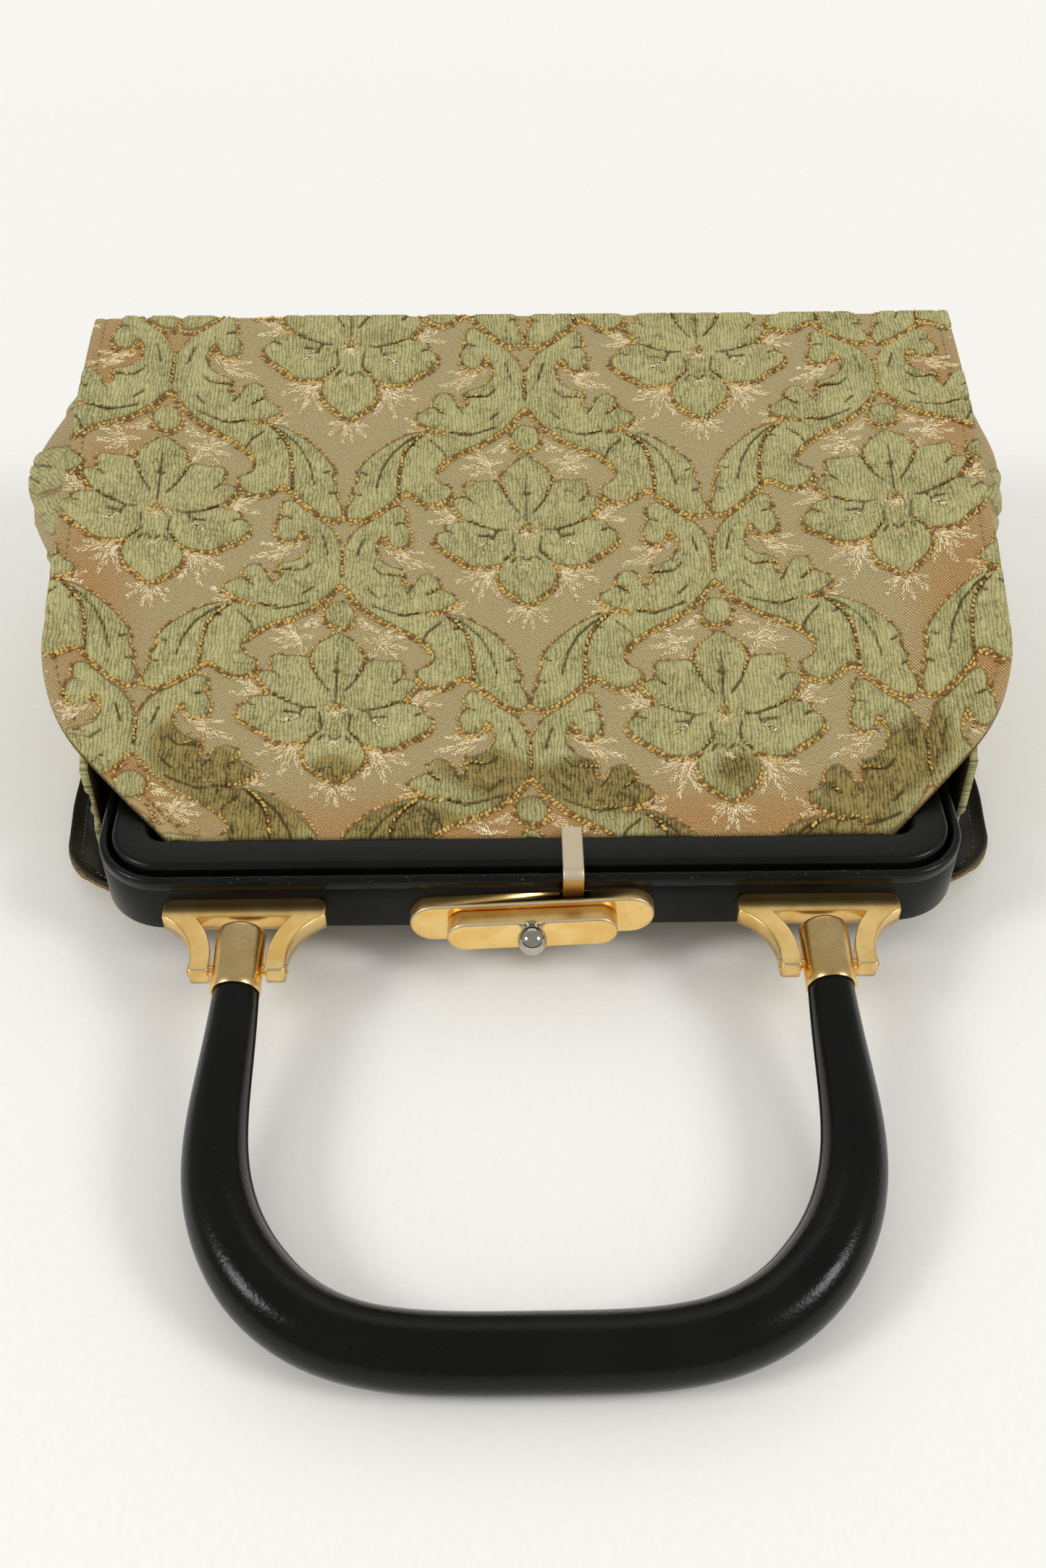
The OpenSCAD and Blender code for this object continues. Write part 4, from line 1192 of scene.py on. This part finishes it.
def build_gussets():
    ys = spread(gusset_low[1], gusset_high[1], 1.15)
    qs = spread(0.0, 100.0, 1.3) / 100.0
    y, q = np.meshgrid(ys, qs, indexing="ij")
    start = (0, Y_FOLD_END, 50.0)
    end = (0, Y_FOLD_END - 13.5, 57.6)
    for name, side, bulge in (("left", -1, LEFT_BULGE), ("right", 1, RIGHT_BULGE)):

        def place(y, q, side=side, bulge=bulge):
            return gusset_place(y, q, bulge) * (side, 1, 1)

        face = place(y, q)
        u, v = face[..., 2] - 20.0 + 6.0 * side, y - 28.0
        pile, slit = damask(u, v)
        _, _, normal = tangents(place, y, q, 0.01)
        outward = normal * np.sign(normal[..., :1] * side)
        outer = face + pile_height(pile, slit)[..., None] * outward
        inner = face - np.array([GUSSET_T * side, 0, 0])
        cloth = cloth_values(u, v, pile, slit)
        piece_name = f"velvet_{name}_gusset"
        gusset = shell_piece(piece_name, outer, inner, [velvet, velvet, satin], cloth, flip=side < 0)
        bend_with_mouth(gusset, start, end, [f"{name}_gusset"])
        height, length, area = sheet_size(face)


def build_back():
    ys = spread(BACK_NEAR, Y_FAR, 2.2)
    ts = spread(-HALF_W, HALF_W, 2.4) / HALF_W
    y, t = np.meshgrid(ys, ts, indexing="ij")
    x = t * back_half(y)
    u, v = x, y - 24.0
    pile, slit = damask(u, v)
    outer = np.stack([x, y, back_z(x, y) + PILE_H - GROUND_DEPTH - pile_height(pile, slit)], -1)
    inner = np.stack([x, y, back_z(x, y) + PANEL_T], -1)
    cloth = cloth_values(u, v, pile, slit)
    back = shell_piece("velvet_back", outer, inner, [velvet, velvet_edge, velvet_edge], cloth, flip=True)
    settle(back, "bag", ["back_panel"])


def build_bottom():
    half, low, high = bottom_high[0], bottom_low[2], bottom_high[2]
    xs, zs = spread(-half, half, 1.6), spread(low, high, 1.5)
    z, x = np.meshgrid(zs, xs, indexing="ij")
    u, v = x, z - 46.0
    pile, slit = damask(u, v)
    outer = np.stack([x, Y_FAR + pile_height(pile, slit) - roll_off(high - z), z], -1)
    inner = np.stack([x, np.full_like(x, Y_FAR - PANEL_T), z], -1)
    cloth = cloth_values(u, v, pile, slit)
    bottom = shell_piece("velvet_bottom", outer, inner, [velvet, velvet_edge, satin], cloth, flip=True)
    settle(bottom, "bag", ["bottom_panel"])


TAB_LIP, TAB_LIP_W = 1.1, 3.0


def facing_top(x, y):
    """Upper face of the leather facing."""
    return np.stack([x, y, back_z(x, y) + PANEL_T + SEAM_GAP + FACING_T], -1)


def build_facing():
    """Leather facing: the stitched black tabs beside the frame."""
    ys = spread(BACK_NEAR, facing_high[1], 1.6)
    ts = spread(-HALF_W, HALF_W, 2.4) / HALF_W
    y, t = np.meshgrid(ys, ts, indexing="ij")
    x = t * (back_half(y) - FACING_INSET)
    low = back_z(x, y) + PANEL_T + SEAM_GAP
    inset = (1 - np.abs(t)) * HALF_W
    groove = 0.25 * np.exp(-(((inset - STITCH_INSET) / 0.7) ** 2))
    puff = TAB_LIP * ease((TAB_LIP_W - inset) / 2.6) - groove
    outer = np.stack([x, y, low + FACING_T + puff], -1)
    inner = np.stack([x, y, low], -1)
    rub = {"rub": 0.25 + 0.5 * ease((TAB_LIP_W - inset) / 2.0)}
    facing = shell_piece("leather_tabs", outer, inner, [frame_leather], rub)
    settle(facing, "bag", ["back_facing"])

    line_y = np.linspace(BACK_NEAR + 5.0, facing_high[1] - 2.0, 300)
    line = np.stack([back_half(line_y) - FACING_INSET - STITCH_INSET, line_y], 1)
    stitches = stitch_line("tab_stitches", line, 2.0, facing_top, 0.1, (0.75, 0.28, 0.34), black_thread)
    settle(stitches, "bag", ())


# Frame


def build_frame():
    foot_r, rim_r, groove = 0.8, WALL_T / 2, 0.22
    wall = (
        arc(WALL_T - foot_r, FACE_Z + foot_r, foot_r, -90, 0, 4)
        + arc(rim_r, RIM_Z - rim_r, rim_r, 0, 180, 10)
        + [(0, RIM_Z - 3.6), (groove, RIM_Z - 3.9), (groove, RIM_Z - 4.1), (0, RIM_Z - 4.4)]
        + arc(foot_r, FACE_Z + foot_r, foot_r, 180, 270, 4)
    )
    inner, low, high = WALL_T + FLANGE_W, FACE_Z + 0.1, FACE_Z + 2.7
    flange = [(WALL_T / 2, low), (inner - 0.8, low)]
    flange += arc(inner - 1.0, FACE_Z + 1.4, 1.0, -60, 60, 4)
    flange += [(inner - 0.8, high), (WALL_T / 2, high)]
    wall_path = frame_path(FRAME_HALF, Y_FACE, FRAME_R, Y_ARM_END)
    flange_path = frame_path(FRAME_HALF, Y_FACE, FRAME_R, Y_FOLD_START)
    points, faces = join(frame_sweep(wall_path, wall), frame_sweep(flange_path, flange))
    rub = 0.15 + 0.85 * ease((points[:, 2] - RIM_Z + 2.4) / 2.0)
    rear = make_piece("rear_frame", points, faces, [frame_leather], {"rub": rub})
    settle(sharpen(rear, 50), "bag", ["rear_frame_cover"])

    r, under_r = RING_EDGE_R, 1.2
    ring = (
        arc(RING_W - under_r, RING_Z + under_r, under_r, -90, 0, 3)
        + arc(RING_W - r, CROWN_Z - r, r, 0, 90, 8)
        + arc(r, CROWN_Z - r, r, 90, 180, 8)
        + arc(under_r, RING_Z + under_r, under_r, 180, 270, 3)
    )
    points, faces = frame_sweep(frame_path(RING_HALF, Y_RING, RING_R, Y_ARM_END), ring)
    front = make_piece("front_frame", points, faces, [frame_leather], {"rub": np.full(len(points), 0.2)})
    settle(sharpen(front, 60), "front_jaw", ["front_frame_cover"])


# Lock


def stadium(length, height, steps=14):
    r = height / 2
    return arc(length / 2 - r, 0, r, -90, 90, steps) + arc(-length / 2 + r, 0, r, 90, 270, steps)


def upright(points, back):
    """A plate's points stood up on the lock, with its back at a distance from the face."""
    return lock_place(np.stack([points[:, 0], -points[:, 2] - back, points[:, 1]], -1))


def plate_edge(points):
    """1 on a plate's sides and back, and 0 on its front."""
    return 1 - ease((points[:, 2] - points[:, 2].max() + 0.3) / 0.3)


def lock_plate(name, size, edge_r, back, spot, materials):
    """A plate of the lock with rubbed upper edges and a worn spot: its strength, middle and reach."""
    length, height, thickness = size
    points, faces, wear = rounded_plate(stadium(length, height), thickness, edge_r)
    strength, cx, cy, rx, ry = spot
    x, y = points[:, 0], points[:, 1]
    mark = strength * np.exp(-(((x - cx) / rx) ** 2) - ((y - cy) / ry) ** 2)
    values = {"wear": wear * ease(y / 2.5 + 0.4), "mark": mark, "satin_edge": plate_edge(points)}
    return sharpen(make_piece(name, upright(points, back), faces, materials, values), 55)


def build_lock():
    worn_spot = (1.0, -(SLIDE_L / 2 + 2.2), 0.0, 3.2, 3.6)
    case = lock_plate("lock_case_gilt", (CASE_L, CASE_H, CASE_T), 0.7, 0.0, worn_spot, [gold, dark])
    cut_mouth(case)
    settle(case, "bag", ["lock_case"])

    scratch = (0.5, 18.0, 1.0, 3.5, 1.2)
    slide_size, slide_back = (SLIDE_L, SLIDE_H, SLIDE_T), CASE_T + SLIDE_GAP
    slide = lock_plate("lock_slide_gilt", slide_size, 0.75, slide_back, scratch, [gold])
    settle(slide, "slide", ["lock_slide"])

    neck_r = KNOB_R / 2
    first = math.degrees(math.acos(neck_r / KNOB_R))
    ball = arc(0, -KNOB_R, KNOB_R, first, -88, 22)
    profile = [(neck_r * 1.5, 0.3), (neck_r * 1.45, -0.2), (neck_r * 1.1, -0.5)] + ball
    rings = lathe(profile) + (0, -(slide_back + SLIDE_T), KNOB_RISE)
    points, faces = tube(lock_place(rings))
    knob = make_piece("chrome_knob", points, faces, [chrome])
    settle(knob, "slide", ["lock_knob"])


def cut_mouth(case):
    """Cuts the mouth for the hasp into the lock case; its cut faces are near-black, as painted shade inside
    the mouth.
    """
    x = (hasp_low[0] + hasp_high[0]) / 2
    half = (hasp_high[0] - hasp_low[0]) / 2 + 0.9
    y0, y1 = hasp_low[1] - 0.5, hasp_low[1] + 2.1
    z0, z1 = hasp_low[2] - 2.0, hasp_low[2] + 20.0
    corners = np.array([[x + a * half, y, z] for z in (z0, z1) for y in (y0, y1) for a in (-1, 1)])
    faces = [[0, 2, 3, 1], [4, 5, 7, 6], [0, 1, 5, 4], [2, 6, 7, 3], [0, 4, 6, 2], [1, 3, 7, 5]]
    # The cutter's faces carry the near-black painted shade into the case's mouth
    cutter = make_piece("mouth_cutter", corners, faces, [gold, dark], None, [1] * len(faces), False)
    cut = case.modifiers.new("mouth", "BOOLEAN")
    cut.operation = "DIFFERENCE"
    cut.object = cutter
    cut.solver = "EXACT"
    bpy.context.view_layer.update()
    shown = case.evaluated_get(bpy.context.evaluated_depsgraph_get())
    mesh = bpy.data.meshes.new_from_object(shown)
    case.modifiers.clear()
    case.data = mesh
    bpy.data.objects.remove(cutter)


HASP_T, HASP_EDGE_R = 1.6, 0.4


def build_hasp():
    """A flat strip on the front frame, bent down into the lock case."""
    x0, half = (hasp_low[0] + hasp_high[0]) / 2, (hasp_high[0] - hasp_low[0]) / 2
    bend_r = 2 * HASP_T - HASP_T / 2
    top, tail = hasp_high[2] - HASP_T / 2, hasp_low[1] + HASP_T / 2
    line = [(y, top) for y in np.linspace(hasp_high[1], tail + bend_r, 12)[:-1]]
    line += arc(tail + bend_r, top - bend_r, bend_r, 90, 180, 8)
    line += [(tail, z) for z in np.linspace(top - bend_r, hasp_low[2], 8)[1:]]
    line = np.array(line)
    way = np.gradient(line, axis=0)
    way /= np.linalg.norm(way, axis=1, keepdims=True)
    out = np.stack([way[:, 1], -way[:, 0]], 1) * -1
    r = HASP_EDGE_R
    section = []
    for cx, cz, a0 in ((1, -1, -90), (1, 1, 0), (-1, 1, 90), (-1, -1, 180)):
        section += arc(cx * (half - r), cz * (HASP_T / 2 - r), r, a0, a0 + 90, 3)
    across, rise = np.array(section).T
    rings = [
        np.column_stack([x0 + across, y + rise * oy, z + rise * oz]) for (y, z), (oy, oz) in zip(line, out)
    ]
    points, faces = tube(rings)
    from_middle = np.tile(np.abs(across) / half, len(line))
    run = np.repeat(np.linspace(0, 1, len(line)), len(section))
    middle = (1 - ease((from_middle - 0.2) / 0.6)) * ease((0.62 - np.abs(run - 0.3)) / 0.3)
    mark = np.clip(middle + ease((run - 0.55) / 0.2), 0, 1)
    # tail marks where the strip runs into the lock, for the painted shade there
    values = {"mark": mark, "tail": ease((run - 0.66) / 0.22)}
    hasp = make_piece("hasp_strip", points, faces, [silver], values)
    settle(sharpen(hasp, 60), "front_jaw", ["hasp"])


# Brackets and handle

FOOT_IN = FERRULE_R + FERRULE_GAP
FOOT_OUT = FOOT_IN + FOOT_W
FOOT_IN_R, FOOT_OUT_R = 0.8, 1.1


def bracket_outline():
    """Bracket seen from above, with its base on the X axis, anticlockwise."""
    end, sweep_y = -PIVOT_OUT - FOOT_END, -PIVOT_OUT + PIVOT_R
    r, half = BRACKET_CORNER_R, BRACKET_W / 2
    opening = OPENING_HALF - FOOT_IN
    leg_in_r = (opening**2 + (sweep_y + BRACKET_BAR) ** 2) / (2 * opening)
    cx = FOOT_OUT + LEG_SWEEP_R
    top = math.degrees(math.acos((half - cx) / LEG_SWEEP_R))
    inner_turn = math.degrees(math.asin(min(1.0, (-BRACKET_BAR - sweep_y) / leg_in_r)))
    right = [(0, -BRACKET_BAR)]
    right += arc(FOOT_IN + leg_in_r, sweep_y, leg_in_r, 180 - inner_turn, 180, 10)
    right += arc(FOOT_IN + FOOT_IN_R, end + FOOT_IN_R, FOOT_IN_R, 180, 270, 3)
    right += arc(FOOT_OUT - FOOT_OUT_R, end + FOOT_OUT_R, FOOT_OUT_R, -90, 0, 4)
    right += arc(cx, sweep_y, LEG_SWEEP_R, 180, top, 16)
    right += arc(half - r, -r, r, 0, 90, 5)
    right = np.array(right)
    return np.concatenate([right, (right * (-1, 1))[:0:-1]])


def build_bracket(name, side):
    points, faces, wear = rounded_plate(bracket_outline(), BRACKET_T, 0.4, under_r=0.5, fade=0.3)
    feet = ease((-points[:, 1] - PIVOT_OUT + 3.0) / 2.0)
    placed = points + (side * HANDLE_HALF, Y_FACE, MID_Z - BRACKET_T / 2)
    values = {"wear": wear * (0.15 + 0.85 * feet), "mark": 0 * wear, "satin_edge": np.full(len(wear), 0.3)}
    bracket = make_piece(f"{name}_bracket_gilt", placed, faces, [gold], values)
    settle(sharpen(bracket, 50), "bag", [f"{name}_bracket"])

    head = [(0.0, 0.0), (PIVOT_R, 0.0), (PIVOT_R, 2 * FOOT_OUT + 1.0), (0.0, 2 * FOOT_OUT + 1.0)]
    rings = lathe([(max(r, 0.02), y - FOOT_OUT - 0.5) for r, y in head], 20)
    turned = np.stack([rings[..., 1], rings[..., 0], rings[..., 2]], -1)
    points, faces = tube(turned + (side * HANDLE_HALF, Y_PIVOT, MID_Z))
    pin = make_piece(f"{name}_pivot_gilt", points, [f[::-1] for f in faces], [gold])
    settle(sharpen(pin, 50), "bag", [f"{name}_pivot_pin"])


FERRULE_ROUND = 1.6
FERRULE_CORE_R = 0.05


def build_ferrule(name, side):
    """A gilt cup on the handle's end, rubbed along its top."""
    r, inner, round_r = FERRULE_R, FERRULE_R - FERRULE_WALL, FERRULE_ROUND
    front, seat = -FERRULE_FRONT, -FERRULE_FRONT + GRIP_SEAT
    profile = [(FERRULE_CORE_R, FERRULE_BACK), (r - round_r, FERRULE_BACK)]
    profile += arc(r - round_r, FERRULE_BACK - round_r, round_r, 90, 0, 6)[1:]
    profile += [(r, y) for y in np.linspace(FERRULE_BACK - 3, front + 2.2, 8)]
    profile += [(r, front + 0.3), (r - 0.2, front), (inner, front), (inner, seat), (FERRULE_CORE_R, seat)]
    rings = lathe(profile)
    points, faces = tube(handle_place(rings + (side * HANDLE_HALF, 0, 0)), close_ends=False)
    local = rings.reshape(-1, 3)
    up = local[:, 2] / np.maximum(np.hypot(local[:, 0], local[:, 2]), 0.1)
    wear, mark = 0.5 * ease((up - 0.25) / 0.6), 0.5 * ease((up - 0.1) / 0.8)
    values = {"wear": wear, "mark": mark, "satin_edge": np.full(len(wear), 0.1)}
    ferrule = make_piece(f"{name}_ferrule_gilt", points, faces, [gold], values)
    settle(sharpen(ferrule, 50), "handle", [f"{name}_ferrule"])


def handle_line(a):
    """Middle line of the grip in the handle's plane: a squarish loop that splays and leans."""
    c, s = np.cos(a), np.sin(a)
    k = (np.abs(c) ** HANDLE_SQUARE + np.abs(s) ** HANDLE_SQUARE) ** (1 / HANDLE_SQUARE)
    y = HANDLE_L * s / k
    past = np.clip((y - FERRULE_FRONT) / (HANDLE_L - FERRULE_FRONT), 0, 1)
    half = HANDLE_HALF + HANDLE_SPLAY * np.sin(np.pi * past**SPLAY_POWER) ** 2
    return np.stack([half * c / k + HANDLE_LEAN * past, -y, 0 * a], -1)


# Degrees round the grip, from its outside over its top
RIDGE_AT, SEAM_AT = 180, 334
NEAR_RIDGE, NEAR_SEAM = (174, 176, 178, 182, 184, 186), (331, 333, 335, 337)


def build_grip():
    """Leather grip: a tube that thickens to the middle, with a seam ridge inside and a line outside."""
    grip_start = FERRULE_FRONT - GRIP_SEAT
    first = math.atan2(grip_start, HANDLE_L)
    a = np.linspace(first, math.pi - first, 2400)
    line = handle_line(a)
    run = np.concatenate([[0], np.cumsum(np.linalg.norm(np.diff(line, axis=0), axis=1))])
    line = handle_line(np.interp(np.linspace(0, run[-1], 200), run, a))
    way = np.gradient(line, axis=0)
    way /= np.linalg.norm(way, axis=1, keepdims=True)
    out = np.stack([-way[:, 1], way[:, 0], 0 * way[:, 0]], -1)
    thicker = np.clip((-line[:, 1] - FERRULE_FRONT) / GRIP_TAPER, 0, 1)
    radius = GRIP_END_R + (GRIP_R - GRIP_END_R) * thicker
    turn = np.radians(np.sort(np.concatenate([np.arange(0, 360, 7.5), NEAR_RIDGE, NEAR_SEAM])))
    ridge = np.exp(-(((turn - math.radians(RIDGE_AT)) / math.radians(3.2)) ** 2))
    seam = np.exp(-(((turn - math.radians(SEAM_AT)) / math.radians(1.8)) ** 2))
    cosine, sine = np.cos(turn)[:, None], np.sin(turn)[:, None]
    rings = []
    for p, o, r in zip(line, out, radius):
        reach = r + 0.55 * ridge - 0.28 * seam
        rings.append(p + reach[:, None] * (cosine * o + sine * np.array([0, 0, 1.0])))
    points, faces = tube(handle_place(np.array(rings)))
    rub = np.tile(0.2 + 0.6 * ridge, len(line))
    grip = make_piece("grip_leather_tube", points, faces, [grip_leather], {"rub": rub})
    settle(grip, "handle", ["handle_grip"])


build_front()
build_gussets()
build_back()
build_bottom()
build_facing()
build_frame()
build_lock()
build_hasp()
for name, side in (("left", -1), ("right", 1)):
    build_bracket(name, side)
    build_ferrule(name, side)
build_grip()

# Hidden pieces keep their CAD shape
HIDDEN_STEEL = (
    "rear_frame_strip", "front_frame_bar", "left_hinge_pin", "right_hinge_pin", "lock_rivets",
    "bracket_rivets", "handle_core",
)
for name in (*HIDDEN_STEEL, "lining"):
    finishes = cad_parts[name].data.materials
    finishes.clear()
    finishes.append(steel if name in HIDDEN_STEEL else satin)


# Floor, light and camera

FLOOR_R = 1.15


def build_stage():
    """A round pale floor."""
    mesh = bpy.data.meshes.new("floor")
    rim = [(x, y, 0.0) for x, y in arc(0, 0, FLOOR_R, 0, 355, 71)]
    mesh.from_pydata(rim, [], [list(range(len(rim)))])
    mesh.materials.append(pale_floor)
    floor = bpy.data.objects.new("floor", mesh)
    bpy.context.scene.collection.objects.link(floor)


def softbox(name, place, target, size, power, spread_angle):
    """A rectangular light that faces a target."""
    light = bpy.data.lights.new(name, "AREA")
    light.shape = "RECTANGLE"
    light.size, light.size_y = size
    light.energy = power
    light.spread = math.radians(spread_angle)
    lamp = bpy.data.objects.new(name, light)
    lamp.location = place
    lamp.rotation_euler = (Vector(target) - Vector(place)).to_track_quat("-Z", "Y").to_euler()
    bpy.context.scene.collection.objects.link(lamp)


BAG_MIDDLE = (0, 0.05, 0.03)
# Place, target, size, power and spread of each softbox, in metres, watts and degrees
SOFTBOXES = {
    "left_softbox": ((-1.9, -0.75, 1.6), BAG_MIDDLE, (0.7, 0.7), 20.0, 180.0),
    "right_softbox": ((1.9, -0.75, 1.6), BAG_MIDDLE, (0.7, 0.7), 20.0, 180.0),
    "back_softbox": ((0.0, 2.2, 1.9), (0, 0.1, 0.03), (2.4, 1.2), 5.0, 180.0),
    "far_floor_softbox": ((0.0, 0.95, 1.2), (0, 0.95, 0.0), (2.2, 0.7), 0.6, 60.0),
}
# Strength of the light from all round, what the camera sees more of it, and what mirrors show less of it
ROOM_LEVEL, ROOM_SEEN, ROOM_MIRRORED = 0.63, 0.3, 0.23
ROOM_TINT = (1.0, 0.995, 0.98, 1.0)


def build_light():
    world = bpy.data.worlds.new("studio")
    world.use_nodes = True
    wire = Wire(world.node_tree)
    seen = wire.node("ShaderNodeLightPath", None, None, "Is Camera Ray")
    mirrored = wire.node("ShaderNodeLightPath", None, None, "Is Glossy Ray")
    background = world.node_tree.nodes["Background"]
    level = ROOM_LEVEL + seen * ROOM_SEEN - mirrored * ROOM_MIRRORED
    world.node_tree.links.new(level.socket, background.inputs["Strength"])
    background.inputs["Color"].default_value = ROOM_TINT
    bpy.context.scene.world = world
    for name, settings in SOFTBOXES.items():
        softbox(name, *settings)


# Where the photo's camera stands, which way it looks, and its lens in millimetres
CAMERA_AT = (-0.0069, -0.4128, 0.3717)
CAMERA_WAY = (0.01004, 0.71927, -0.6947)
CAMERA_LENS = 37.38


def build_camera():
    cam = bpy.data.cameras.new("photo_camera")
    cam.sensor_fit = "AUTO"
    cam.sensor_width = 36.0
    cam.lens = CAMERA_LENS
    cam.clip_start, cam.clip_end = 0.01, 50.0
    camera = bpy.data.objects.new("photo_camera", cam)
    camera.location = CAMERA_AT
    camera.rotation_euler = Vector(CAMERA_WAY).to_track_quat("-Z", "Y").to_euler()
    bpy.context.scene.collection.objects.link(camera)
    bpy.context.scene.camera = camera


build_stage()
build_light()
build_camera()
bpy.context.scene.view_settings.view_transform = "Standard"
